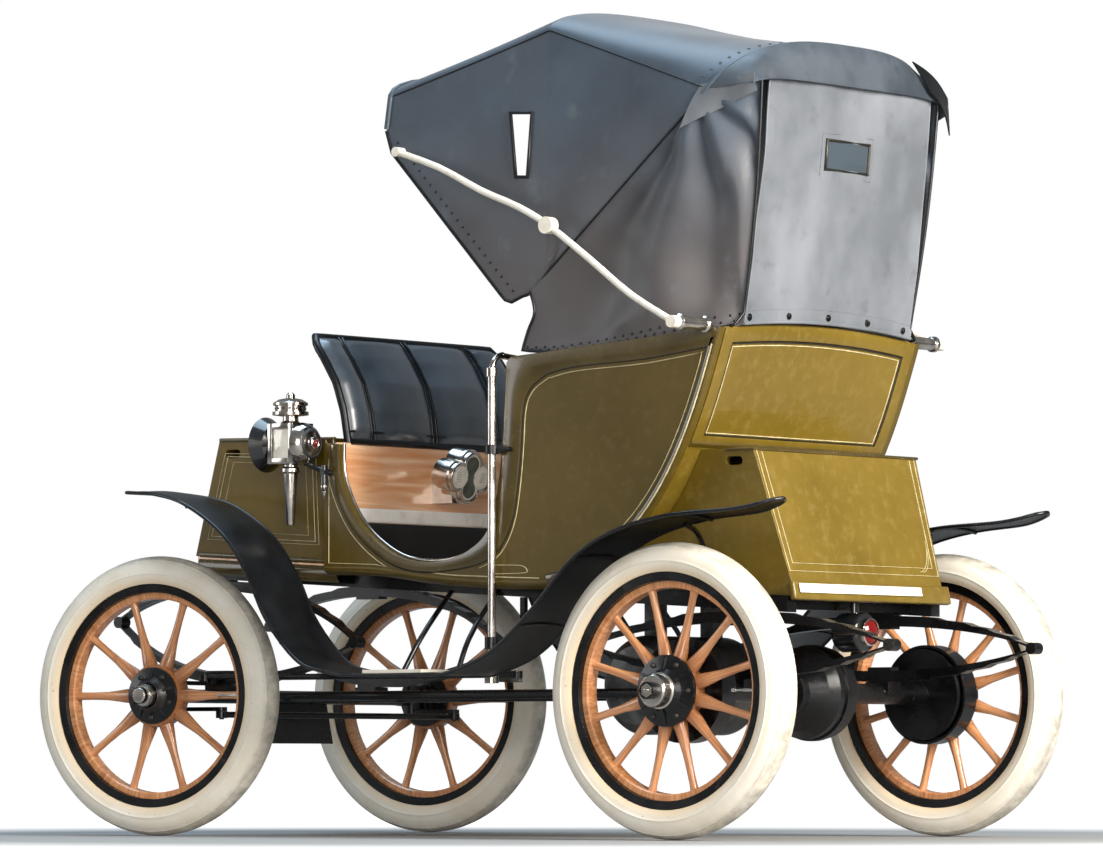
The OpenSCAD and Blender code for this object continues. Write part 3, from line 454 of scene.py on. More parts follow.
def makePatches():  # cloudy patches from 0 to 1
    group, given, end = newGroup("patches", {"Scale": 5.0, "Low": 0.4, "High": 0.6}, ["Mask"])
    cloud = nodeIn(group, "TexNoise", {"Vector": given["Vector"], "Scale": given["Scale"],
                                       "Detail": 6, "Roughness": 0.6})
    feed(end, {"Mask": mapped(group, cloud.outputs["Fac"], given["Low"], given["High"], 0, 1)})


def makeHideGrain():  # pebbled leather
    group, given, end = newGroup("hideGrain", {"Scale": 400.0}, ["Height"])
    place = {"Vector": given["Vector"], "Scale": given["Scale"]}
    pebble = nodeIn(group, "TexVoronoi", place, feature="SMOOTH_F1")
    pores = nodeIn(group, "TexNoise", {**place, "Detail": 3})
    both = nodeIn(group, "Math", {0: pebble.outputs["Distance"], 1: pores.outputs["Fac"]}, operation="ADD")
    feed(end, {"Height": both.outputs[0]})


def makeTimberGrain():  # fibres run along X
    group, given, end = newGroup("timberGrain", {"Scale": 60.0}, ["Shade", "Height"])
    pull = nodeIn(group, "VectorMath", {0: given["Vector"], 1: (0.06, 1, 1)},
                  operation="MULTIPLY").outputs[0]
    rings = nodeIn(group, "TexNoise", {"Vector": pull, "Scale": given["Scale"], "Detail": 5,
                                       "Distortion": 0.6})
    finer = nodeIn(group, "Math", {0: given["Scale"], 1: 7}, operation="MULTIPLY")
    fibre = nodeIn(group, "TexNoise", {"Vector": pull, "Scale": finer.outputs[0]})
    feed(end, {"Shade": mapped(group, rings.outputs["Fac"], 0.33, 0.68, 0, 1),
               "Height": fibre.outputs["Fac"]})


def makeClothWeave():  # crossed threads
    group, given, end = newGroup("clothWeave", {"Scale": 400.0}, ["Height"])
    place = {"Vector": given["Vector"], "Scale": given["Scale"], "Distortion": 1.2}
    across = nodeIn(group, "TexWave", place, bands_direction="Y")
    along = nodeIn(group, "TexWave", place, bands_direction="Z")
    both = nodeIn(group, "Math", {0: across.outputs["Fac"], 1: along.outputs["Fac"]}, operation="ADD")
    feed(end, {"Height": both.outputs[0]})


for makeGroup in (makePatches, makeHideGrain, makeTimberGrain, makeClothWeave):
    makeGroup()


def placeGroup(tree, name, vector, **values):
    return nodeIn(tree, "Group", {"Vector": vector, **values}, node_tree=groups[name])


def patches(tree, vector, scale, low, high):
    return placeGroup(tree, "patches", vector, Scale=scale, Low=low, High=high).outputs["Mask"]


def mixTone(tree, mask, low, high):  # low and high are colours or sockets
    return nodeIn(tree, "Mix", {0: mask, 6: low, 7: high}, data_type="RGBA").outputs[2]


def bumpOf(tree, height, strength, distance, under=None):
    inputs = {"Height": height, "Strength": strength, "Distance": distance}
    if under is not None:
        inputs["Normal"] = under
    return nodeIn(tree, "Bump", inputs).outputs[0]


def makeFinish(name, look):
    tree, shader = newFinish(name)
    where = nodeIn(tree, "TexCoord", {}).outputs["Object"]
    turn = [math.radians(a) for a in look.get("turn", (0, 0, 0))]
    vector = nodeIn(tree, "Mapping", {"Vector": where, "Rotation": turn}).outputs[0]
    if "timber" in look:
        grain = placeGroup(tree, "timberGrain", vector, Scale=look["timber"])
        mask, height = grain.outputs["Shade"], grain.outputs["Height"]
    else:
        mask = patches(tree, vector, look.get("scale", 4.0), *look.get("spread", (0.38, 0.64)))
        height = None
    colour = mixTone(tree, mask, tone(look["dark"]), tone(look["light"]))
    rough = mapped(tree, mask, 0, 1, *look.get("rough", (0.3, 0.4)))
    if "low" in look:  # painted reflection: the colour fades to another one lower down, a warm ground reflection below the sky reflection
        top, foot, code = look["low"]
        split = nodeIn(tree, "SeparateXYZ", {0: where})
        colour = mixTone(tree, mapped(tree, split.outputs["Z"], top, foot, 0.0, 0.7), colour, tone(code))
    if "wear" in look:  # a second layer: dust, scuffs or smudges
        code, scale, low, high, wearRough = look["wear"]
        worn = patches(tree, vector, scale, low, high)
        colour = mixTone(tree, worn, colour, tone(code))
        rough = nodeIn(tree, "Mix", {0: worn, 2: rough, 3: wearRough}).outputs[0]
    under = None
    if "edge" in look:  # rounds the hard edges of a solid a little
        under = nodeIn(tree, "Bevel", {"Radius": look["edge"]}, samples=4).outputs[0]
    for kind in ("hideGrain", "clothWeave"):
        if kind in look:
            height = placeGroup(tree, kind, vector, Scale=look[kind]).outputs["Height"]
    if height is None:
        height = patches(tree, vector, look.get("ripple", 60.0), 0.2, 0.8)
    normal = bumpOf(tree, height, *look.get("bump", (0.05, 0.001)), under)
    feed(shader, {"Base Color": colour, "Roughness": rough, "Normal": normal, **look.get("fixed", {})})


looks = {
    "bodyPaint": {"dark": "#46380e", "light": "#554516", "scale": 2.2, "spread": (0.3, 0.7),
                  "rough": (0.30, 0.40), "wear": ("#5e4e26", 30.0, 0.52, 0.92, 0.42), "ripple": 26.0,
                  "bump": (0.03, 0.001), "edge": 0.003,
                  "fixed": {"Coat Weight": 0.18, "Coat Roughness": 0.12, "Specular IOR Level": 0.32}},
    # painted shade: a darker copy of the body olive for the raised mouldings, beads and lips, standing in
    # for their darker reflection
    "shadedMouldingPaint": {"dark": "#3f3310", "light": "#4e4018", "scale": 5.0, "rough": (0.2, 0.34),
                      "edge": 0.002, "fixed": {"Coat Weight": 0.6, "Coat Roughness": 0.12}},
    # painted light: a lighter copy of the body paint for the rear panel, rear box and plinth, standing in
    # for the key light on the rear
    "sunnyPaint": {"dark": "#574611", "light": "#69561a", "scale": 2.2, "spread": (0.3, 0.7),
                   "rough": (0.28, 0.40), "wear": ("#756230", 30.0, 0.50, 0.90, 0.42), "ripple": 26.0,
                   "bump": (0.03, 0.001), "edge": 0.003,
                   "fixed": {"Coat Weight": 0.3, "Coat Roughness": 0.12, "Specular IOR Level": 0.35}},
    # painted light: a lighter, more saturated copy of the body paint for the front box, standing in for the
    # light it catches
    "frontBoxLitPaint": {"dark": "#52400a", "light": "#634f10", "scale": 2.2, "spread": (0.3, 0.7),
                 "rough": (0.34, 0.44), "wear": ("#6a5726", 30.0, 0.52, 0.92, 0.4), "ripple": 26.0,
                 "bump": (0.03, 0.001), "edge": 0.003,
                 "fixed": {"Coat Weight": 0.08, "Coat Roughness": 0.14, "Specular IOR Level": 0.2}},
    # near-black: painted shadow in the grooves beside the raised mouldings, and the real black of the
    # curtain's window frame
    "shadowLineAndFrameBlack": {"dark": "#14130d", "light": "#221e12", "scale": 9.0, "rough": (0.3, 0.5)},
    # cream pinstripes, also used for a painted highlight along the side's rear moulding
    "stripeAndHighlightPaint": {"dark": "#a1956f", "light": "#bfb48e", "scale": 30.0, "rough": (0.3, 0.45)},
    "fenderHide": {"dark": "#06080a", "light": "#0c0f13", "scale": 7.0, "rough": (0.30, 0.42),
                   "hideGrain": 700.0, "bump": (0.10, 0.0006), "wear": ("#2b2e32", 30.0, 0.68, 0.95, 0.6),
                   "fixed": {"Coat Weight": 0.1, "Coat Roughness": 0.22, "Specular IOR Level": 0.35}},
    # hood leather: blue-grey above, fading to a warm grey lower down (the low entry), painted sky and
    # ground reflections
    "hoodHide": {"dark": "#222d39", "light": "#374451", "scale": 2.6, "low": (2.06, 1.58, "#4d4440"),
                 "rough": (0.40, 0.52), "hideGrain": 520.0, "bump": (0.22, 0.0007),
                 "wear": ("#5d646b", 9.0, 0.60, 0.95, 0.6),
                 "fixed": {"Sheen Weight": 0.12, "Sheen Roughness": 0.5}},
    "curtainCloth": {"dark": "#565a5f", "light": "#6b6f75", "scale": 3.0, "rough": (0.42, 0.58),
                     "clothWeave": 330.0, "bump": (0.16, 0.0005),
                     "wear": ("#3f4145", 14.0, 0.58, 0.9, 0.65),
                     "fixed": {"Sheen Weight": 0.1, "Sheen Roughness": 0.4}},
    "valanceHide": {"dark": "#2d343b", "light": "#3f464e", "scale": 4.0, "rough": (0.42, 0.55),
                    "hideGrain": 480.0, "bump": (0.2, 0.0006), "wear": ("#4b5157", 12.0, 0.55, 0.9, 0.6)},
    "dashHide": {"dark": "#343b42", "light": "#474f57", "scale": 5.0, "rough": (0.30, 0.42),
                 "hideGrain": 600.0, "bump": (0.14, 0.0006),
                 "fixed": {"Coat Weight": 0.9, "Coat Roughness": 0.24}},
    "seatHide": {"dark": "#14161a", "light": "#24272b", "scale": 6.0, "rough": (0.30, 0.44),
                 "hideGrain": 480.0, "bump": (0.24, 0.0007), "wear": ("#3f4145", 18.0, 0.62, 0.95, 0.5)},
    "timberVarnish": {"dark": "#e29e6c", "light": "#ffd9b2", "timber": 34.0, "turn": (0, 0, 90),
                      "rough": (0.2, 0.32), "bump": (0.10, 0.0006), "edge": 0.002,
                      "fixed": {"Coat Weight": 0.6, "Coat Roughness": 0.12}},
    "matRubber": {"dark": "#101113", "light": "#1c1d20", "scale": 14.0, "rough": (0.6, 0.75),
                  "ripple": 300.0, "bump": (0.2, 0.0008)},
    "nickelPlate": {"dark": "#b4aca4", "light": "#ddd7cf", "scale": 12.0, "rough": (0.12, 0.26),
                    "wear": ("#8d7f70", 26.0, 0.64, 0.9, 0.4), "edge": 0.001, "fixed": {"Metallic": 1.0}},
    "ironBlack": {"dark": "#060607", "light": "#0f0f11", "scale": 9.0, "rough": (0.20, 0.36),
                  "ripple": 90.0, "bump": (0.08, 0.001), "edge": 0.0015,
                  "wear": ("#38312a", 20.0, 0.64, 0.88, 0.7),
                  "fixed": {"Coat Weight": 0.15, "Coat Roughness": 0.2, "Specular IOR Level": 0.35}},
    "greasyIron": {"dark": "#0d0c0b", "light": "#221e1a", "scale": 16.0, "rough": (0.28, 0.55),
                   "ripple": 140.0, "bump": (0.25, 0.0015), "edge": 0.001,
                   "wear": ("#5b4630", 34.0, 0.58, 0.8, 0.8)},
    "motorSteel": {"dark": "#4c4d4d", "light": "#757675", "scale": 10.0, "rough": (0.3, 0.45),
                   "wear": ("#2b2a28", 12.0, 0.5, 0.8, 0.6), "fixed": {"Metallic": 0.8}},
    "ivoryPaint": {"dark": "#cfc8b8", "light": "#e2dccd", "scale": 14.0, "rough": (0.25, 0.38),
                   "wear": ("#8c8474", 40.0, 0.68, 0.9, 0.6), "edge": 0.001},
    "kickWhite": {"dark": "#f0ede7", "light": "#fbfaf7", "scale": 14.0, "rough": (0.25, 0.38),
                  "edge": 0.001},
    "lampEnamel": {"dark": "#0b0c0e", "light": "#17191c", "scale": 10.0, "rough": (0.14, 0.24),
                   "fixed": {"Coat Weight": 0.8, "Coat Roughness": 0.06}},
    "dialFace": {"dark": "#d9d5c9", "light": "#efece3", "scale": 30.0, "rough": (0.35, 0.5)},
    "lampPane": {"dark": "#e4dccb", "light": "#f6f1e6", "scale": 16.0, "rough": (0.06, 0.12),
                 "fixed": {"Coat Weight": 1.0, "Coat Roughness": 0.03}},
    "dialPlate": {"dark": "#4e544c", "light": "#6d7268", "scale": 40.0, "rough": (0.35, 0.5),
                  "fixed": {"Metallic": 0.4}},
    "dialDark": {"dark": "#1c1d20", "light": "#2c2e32", "scale": 30.0, "rough": (0.4, 0.5)},
    "batteryCase": {"dark": "#26241f", "light": "#37332b", "scale": 9.0, "rough": (0.6, 0.75)},
}
for title, look in looks.items():
    makeFinish(title, look)


def makeGlass(name, tint, rough, weight):
    makeFinish(name, {"dark": tint, "light": tint, "scale": 20.0, "rough": (rough, rough + 0.05),
                      "bump": (0.0, 0.0005), "fixed": {"Transmission Weight": weight, "IOR": 1.46}})


makeGlass("windowGlass", "#424c54", 0.06, 0.25)
makeGlass("redLens", "#6d100c", 0.08, 0.30)


def wheelPlace(tree, wheel):  # coordinates with the wheel's axle as Z
    where = nodeIn(tree, "TexCoord", {}).outputs["Object"]
    turn = nodeIn(tree, "Mapping", {"Vector": where, "Location": wheel["centre"],
                                    "Rotation": wheel["turn"].to_euler()}, vector_type="TEXTURE").outputs[0]
    x, y, z = nodeIn(tree, "SeparateXYZ", {0: turn}).outputs
    flat = nodeIn(tree, "CombineXYZ", {"X": x, "Y": y}).outputs[0]
    far = nodeIn(tree, "VectorMath", {0: flat}, operation="LENGTH").outputs["Value"]
    angle = nodeIn(tree, "Math", {0: y, 1: x}, operation="ARCTAN2").outputs[0]
    return turn, far, angle, z


def makeTyreFinish(wheel):
    tree, shader = newFinish("tyreRubber_" + wheel["corner"])
    vector, radius = wheelPlace(tree, wheel)[:2]
    cloud = patches(tree, vector, 7.0, 0.3, 0.75)
    stain = mapped(tree, radius, 0.322, 0.352, 0.75, 0.0)  # beside the rim
    tread = mapped(tree, radius, 0.384, 0.404, 0.0, 1.0)
    scuff = patches(tree, vector, 24.0, 0.30, 0.62)
    road = nodeIn(tree, "Math", {0: tread, 1: scuff}, operation="MULTIPLY").outputs[0]
    specks = patches(tree, vector, 95.0, 0.66, 0.72)
    colour = mixTone(tree, cloud, tone("#ddd8cd"), tone("#cfc5b2"))
    for mask, code in ((stain, "#d3b890"), (road, "#9b968c"), (specks, "#8a857b")):
        colour = mixTone(tree, mask, colour, tone(code))
    pits = patches(tree, vector, 150.0, 0.35, 0.7)
    feed(shader, {"Base Color": colour, "Roughness": mapped(tree, cloud, 0, 1, 0.42, 0.6),
                  "Normal": bumpOf(tree, pits, 0.12, 0.001)})


def makeSpokeFinish(wheel):
    tree, shader = newFinish("spokeVarnish_" + wheel["corner"])
    vector, radius, angle, side = wheelPlace(tree, wheel)
    # grain runs out along each spoke
    long = nodeIn(tree, "CombineXYZ", {"X": radius, "Y": angle, "Z": side}).outputs[0]
    grain = placeGroup(tree, "timberGrain", long, Scale=42.0).outputs
    colour = mixTone(tree, grain["Shade"], tone("#a8683b"), tone("#d69c6d"))
    root = mapped(tree, radius, 0.10, 0.15, 0.55, 0.0)
    grime = patches(tree, vector, 30.0, 0.6, 0.85)
    for mask, code in ((root, "#7a4119"), (grime, "#6d4a2c")):
        colour = mixTone(tree, mask, colour, tone(code))
    feed(shader, {"Base Color": colour, "Roughness": mapped(tree, grain["Shade"], 0, 1, 0.3, 0.2),
                  "Normal": bumpOf(tree, grain["Height"], 0.12, 0.0006),
                  "Coat Weight": 0.55, "Coat Roughness": 0.12})


print("finishes:", len(finishes))


# wheels, from the joints that they turn on

wheels = []
for joint in frame["joints"]:
    if joint["name"].startswith("spin_"):
        corner = joint["name"][5:]
        out = Vector(joint["axis"]) * (-1 if corner.endswith("right") else 1)
        wheels.append({"corner": corner, "body": joint["child"], "centre": Vector(joint["pos_m"]),
                       "turn": out.to_track_quat("Z", "Y"), "rear": corner.startswith("rear")})

wheelSet = {
    "radius": 0.4065, "section": 0.0525, "seat": 0.3245, "shoulder": 0.0012, "steps": 128,
    "felloe": (0.2805, 0.2995, 0.022), "spokes": {False: 10, True: 12},
    "nave": [(0.042, -0.0258), (0.088, -0.0258), (0.0915, -0.018), (0.0915, 0.018), (0.088, 0.0258),
             (0.042, 0.0258), (0.042, -0.0258)],
    # spoke: distance from the axle, half width round the wheel, half thickness
    "spoke": [(0.066, 0.021, 0.021), (0.092, 0.0215, 0.0215), (0.112, 0.0165, 0.020),
              (0.138, 0.0125, 0.0165), (0.175, 0.0098, 0.0122), (0.225, 0.0088, 0.0108),
              (0.262, 0.0096, 0.0112), (0.284, 0.0124, 0.0130)],
}


def wheelMatrix(wheel):
    return Matrix.Translation(wheel["centre"]) @ wheel["turn"].to_matrix().to_4x4()


def tyreProfile():
    middle = wheelSet["radius"] - wheelSet["section"]
    points = []
    for step in range(-70, 71, 5):
        # moulded lines on the shoulders
        for near in ((0,) if abs(step) not in (20, 45) else (-0.6, 0.0, 0.6)):
            angle = math.radians((step + near * 1.6) * 2)
            lift = wheelSet["shoulder"] if near == 0.0 and abs(step) in (20, 45) else 0.0
            r = wheelSet["section"] - wheelSet["shoulder"] + lift
            points.append((middle + r * math.cos(angle), r * math.sin(angle)))
    return [p for p in points if p[0] > wheelSet["seat"]]


def makeTyre(wheel):
    profile = tyreProfile()
    low, high = profile[0][1], profile[-1][1]
    seat = wheelSet["seat"]
    loop = [(seat, 0.7 * low), (seat, 0.95 * low)] + profile + [(seat, 0.95 * high), (seat, 0.7 * high),
                                                                (seat, 0.7 * low)]
    obj = turned("tyre-" + wheel["corner"], loop, wheelSet["steps"])
    settle(obj, wheelMatrix(wheel))
    makeTyreFinish(wheel)
    dress(obj, "tyreRubber_" + wheel["corner"], ["tyre_" + wheel["corner"]], wheel["body"])


def makeSpokedWood(wheel):
    inner, outer, half = wheelSet["felloe"]
    edge = 0.004
    felloe = turned("felloe", [(inner, -half + edge), (inner + edge, -half), (outer, -half), (outer, half),
                               (inner + edge, half), (inner, half - edge), (inner, -half + edge)], 96)
    count = wheelSet["spokes"][wheel["rear"]]
    spoke = lofted("spoke", wheelSet["spoke"], 14)
    places = []
    for k in range(count):
        angle = 2 * math.pi * (k + 0.5) / count
        places.append(aimed((0, 0, 0), (math.sin(angle), math.cos(angle), 0), "X"))
    spokes = copies("spokes", spoke, places)
    nave = turned("nave", wheelSet["nave"], 48)
    obj = joined("spoked-wheel-" + wheel["corner"], [felloe, spokes, nave])
    settle(obj, wheelMatrix(wheel))
    makeSpokeFinish(wheel)
    dress(obj, "spokeVarnish_" + wheel["corner"], ["wood_" + wheel["corner"]],
          wheel["body"])


hubSet = {
    "front": {"bolts": 5, "boltRing": 0.064,
              "cap": [(0.0, 0.109), (0.019, 0.108), (0.0235, 0.104), (0.0245, 0.084), (0.030, 0.0835),
                      (0.0328, 0.081), (0.0328, 0.060), (0.0300, 0.056)]},
    "rear": {"bolts": 6, "boltRing": 0.080,
             "cap": [(0.0, 0.104), (0.040, 0.1005), (0.0455, 0.096), (0.0460, 0.066), (0.050, 0.064),
                     (0.050, 0.058), (0.046, 0.055)]},
    "face": 0.0353, "nut": 0.0085,
    "hexNut": [(0.100, 0.022, 0.022), (0.118, 0.022, 0.022), (0.1215, 0.019, 0.019)],
    "oiler": [(0.0, 0.127), (0.006, 0.126), (0.007, 0.120), (0.010, 0.118)],
    "valve": [(0.0, 0.0), (0.0042, 0.0), (0.0042, 0.030), (0.0030, 0.031), (0.0030, 0.048), (0.0055, 0.049),
              (0.0055, 0.060), (0.0, 0.061)],
}


def makeHub(wheel):
    kind = hubSet["rear" if wheel["rear"] else "front"]
    face = hubSet["face"]
    place = wheelMatrix(wheel)
    cap = turned("cap", kind["cap"], 40)
    parts = [cap]
    if wheel["rear"]:  # a big hexagon nut stands out of the cap
        nut = lofted("hexNut", hubSet["hexNut"], 6)
        nut.data.polygons.foreach_set("use_smooth", [False] * len(nut.data.polygons))
        pin = turned("oiler", hubSet["oiler"], 16)
        parts += [nut, pin]
    obj = joined("hub-cap-" + wheel["corner"], parts)
    settle(obj, place)
    dress(obj, "nickelPlate", body=wheel["body"])

    bolt = lofted("bolt", [(0, hubSet["nut"], hubSet["nut"]), (0.006, hubSet["nut"], hubSet["nut"]),
                           (0.0075, 0.006, 0.006), (0.012, 0.0045, 0.0045)], 6)
    ring = []
    up = wheel["turn"].inverted() @ Vector((0, 0, 1))
    for k in range(kind["bolts"]):  # between the ribs of the casting
        angle = math.atan2(up.y, up.x) + 2 * math.pi * (k + 0.5) / kind["bolts"]
        ring.append(Matrix.Translation((kind["boltRing"] * math.cos(angle),
                                        kind["boltRing"] * math.sin(angle), face)))
    bolts = copies("bolts", bolt, ring)
    boss = turned("boss", [(0.036, 0.062), (0.040, 0.060), (0.046, 0.050), (0.056, face + 0.004),
                           (0.058, face)], 32)
    obj = joined("hub-bolts-" + wheel["corner"], [bolts, boss])
    settle(obj, place)
    dress(obj, "greasyIron", body=wheel["body"])

    stem = turned("stem", hubSet["valve"], 16)
    stem = settle(stem, place @ aimed((0.279, 0, 0.010), (-0.9, 0, 0.35)))
    obj = joined("valve-" + wheel["corner"], [stem])
    dress(obj, "nickelPlate", body=wheel["body"])


for wheel in wheels:
    makeTyre(wheel)
    makeSpokedWood(wheel)
    makeHub(wheel)
print("wheels: tyres, spokes and hubs")


# hood: a leather canopy over three bows, with draped quarters behind the seam

hoodSet = {
    "half": 0.4705, "leather": 0.0024, "columns": 90, "rows": 96, "sideShare": 0.33,
    # share from the seam to the front, then x and z of the lower edge
    "foot": [(0, -0.268, 1.534), (0.25, -0.262, 1.530), (0.50, -0.250, 1.526), (0.55, -0.235, 1.523),
             (0.60, -0.200, 1.508), (0.64, -0.175, 1.516), (0.95, 0.240, 1.956), (1, 0.262, 2.020)],
    # share, then shoulder x and z, crown x and z of the bows
    "head": [(0, -0.880, 2.053, -1.030, 2.210), (0.55, -0.340, 2.260, -0.340, 2.343),
             (1, 0.250, 2.110, 0.250, 2.188)],
    "seam": ((-0.268, 1.534), (-0.880, 2.053)), "midBow": -0.335,
    "frontEdge": ((-0.175, 1.516), (0.240, 1.956)),
    "tackLine": ((-0.190, 1.528), (0.02, 1.748), (0.232, 1.972)),
    "panelSag": 0.0095, "topSag": 0.014,
    "window": [(-0.193, 2.044), (-0.273, 2.039), (-0.255, 1.859), (-0.211, 1.862)],
}
quarterSet = {
    "low": [(-0.240, 1.370), (-0.376, 1.362), (-0.590, 1.371), (-0.800, 1.394), (-0.955, 1.415)],
    "notch": [(-0.240, 1.370), (-0.262, 1.427), (-0.283, 1.468), (-0.280, 1.502), (-0.268, 1.534)],
    "rearFoot": (-0.955, 0.425, 1.415), "rearHead": (-1.044, 0.452, 2.084),
    "earStart": (-0.870, 0.4670, 2.080), "earEnd": (-1.050, 0.4570, 2.104),
    "earTip": (-0.806, 0.4800, 1.962),
    "fan": (-0.86, 2.10), "folds": 0.019, "belly": 0.030, "columns": 80, "rows": 60,
}


def archRise(s):
    return max(1 - abs(s) ** 3, 0) ** 0.45


def behind(line, x, z):  # signed distance from a line, positive to its left going up
    (ax, az), (bx, bz) = line
    run = Vector((bx - ax, bz - az)).normalized()
    return (x - ax) * -run.y + (z - az) * run.x


def hoodInset(x, z):  # how far the leather lies inside the bows' plane
    seamBack = behind(hoodSet["seam"], x, z)
    midBack = hoodSet["midBow"] - x
    edgeBack = behind(hoodSet["frontEdge"], x, z)
    sag = 0.0
    if seamBack < 0 < midBack:
        sag = hoodSet["panelSag"] * 4 * midBack * -seamBack / (midBack - seamBack) ** 2
    elif midBack <= 0 < edgeBack:
        sag = 0.8 * hoodSet["panelSag"] * 4 * -midBack * edgeBack / (edgeBack - midBack) ** 2
    return sag + 0.0010 * wrinkle(x, 5, z, 0.16)


def hoodPoint(a, b):  # a from the seam to the front, b from the left foot over to the right one
    footX, footZ = between(hoodSet["foot"], a)
    shoulderX, shoulder, crownX, crown = between(hoodSet["head"], a)
    side = 1 if b < 0.5 else -1
    m = min(b, 1 - b)
    share = hoodSet["sideShare"]
    if m <= share:
        t = m / share
        x, z = lerp(footX, shoulderX, t), lerp(footZ, shoulder, t)
        return Vector((x, side * (hoodSet["half"] - hoodInset(x, z)), z))
    s = math.cos((m - share) / (0.5 - share) * math.pi / 2)
    mid = hoodSet["head"][1][0]  # the middle bow
    bay = a / mid if a < mid else (a - mid) / (1 - mid)
    z = lerp(shoulder, crown, archRise(s)) - hoodSet["topSag"] * 4 * bay * (1 - bay) * (1 - s * s)
    x = lerp(shoulderX, crownX, archRise(s))
    return Vector((x, side * s * (hoodSet["half"] - hoodInset(shoulderX, shoulder)), z))


def quarterEdge(which, share):  # the four borders of a draped quarter
    half = hoodSet["half"]
    if which == "low":
        point = alongLine(quarterLines["low"], share)
        return Vector((point.x, lerp(half, quarterSet["rearFoot"][1], ease((share - 0.6) / 0.4)), point.y))
    if which == "notch":
        point = alongLine(quarterLines["notch"], share)
        return Vector((point.x, half, point.y))
    if which == "rear":
        start, end = Vector(quarterSet["rearFoot"]), Vector(quarterSet["rearHead"])
        return start.lerp(end, share) + Vector((-0.012 * math.sin(math.pi * share), 0, 0))
    (ax, az), (bx, bz) = hoodSet["seam"]
    if share < 0.8:
        t = share / 0.8
        return Vector((lerp(ax, bx, t), half, lerp(az, bz, t)))
    return Vector((bx, half, bz)).lerp(Vector(quarterSet["rearHead"]), (share - 0.8) / 0.2)


quarterLines = {key: smoothLine(quarterSet[key], 8) for key in ("low", "notch")}


def quarterPoint(u, v):  # stretched between its borders, then folds fall from the bow's end
    low, top = quarterEdge("low", u), quarterEdge("seam", u)
    front, rear = quarterEdge("notch", v), quarterEdge("rear", v)
    corners = (quarterEdge("low", 0) * (1 - u) * (1 - v) + quarterEdge("low", 1) * u * (1 - v)
               + quarterEdge("seam", 0) * (1 - u) * v + quarterEdge("seam", 1) * u * v)
    spot = low * (1 - v) + top * v + front * (1 - u) + rear * u - corners
    fanX, fanZ = quarterSet["fan"]
    fan = math.atan2(spot.z - fanZ, spot.x - fanX)
    far = math.hypot(spot.z - fanZ, spot.x - fanX)
    drape = math.sin(fan * 11 + 1.8 * wrinkle(spot.x, 0, spot.z, 0.35))
    drape += 0.7 * wrinkle(spot.x, 3, spot.z, 0.13)
    free = ease(u / 0.5) * ease((1 - u) / 0.06) * ease(v / 0.15) * ease((1 - v) / 0.10) * min(far / 0.25, 1)
    inward = quarterSet["belly"] * math.sin(math.pi * u) * math.sin(math.pi * v) * 0.5
    inward += quarterSet["folds"] * drape * free
    curl = ease((u - 0.87) / 0.13)  # the rear edge turns in towards the curtain
    return spot - Vector((0.25 * inward * u + 0.010 * math.sin(math.pi * curl), inward + 0.034 * curl, 0))


def earPoint(u, v):  # loose end of the rear sheet, hanging over the quarter
    start, end, tip = (Vector(quarterSet[key]) for key in ("earStart", "earEnd", "earTip"))
    spot = start.lerp(end, u).lerp(tip.lerp(end - Vector((0, 0.010, 0.050)), u ** 0.8), v)
    return spot + Vector((0, 0.006 * math.sin(math.pi * v) + 0.003 * math.sin(9 * u), 0))


def sideSpot(x, z, lift=0.0):  # a point on the left side's leather
    return Vector((x, hoodSet["half"] - hoodInset(x, z) + lift, z))


def cutSize(place, steps=40):  # longest lines across and along a sheet, the size it was cut to
    shares = [k / steps for k in range(steps + 1)]
    across = max(sum((place(a + 1 / steps, b) - place(a, b)).length for a in shares[:-1])
                 for b in shares[::8])
    along = max(sum((place(a, b + 1 / steps) - place(a, b)).length for b in shares[:-1])
                for a in shares[::4])
    return across, along


def meshArea(obj):
    return sum(face.area for face in obj.data.polygons)


def cutBy(obj, tool):
    modify(obj, "BOOLEAN", operation="DIFFERENCE", solver="EXACT", object=tool)
    pick(tool)
    bpy.ops.object.delete()
    return obj


def tackRow(name, spots):  # domed nail heads, each with the way it faces
    head = turned("tackHead", [(0.0, 0.0022), (0.0026, 0.0017), (0.0042, 0.0)], 8)
    return atSpots(name, head, spots)


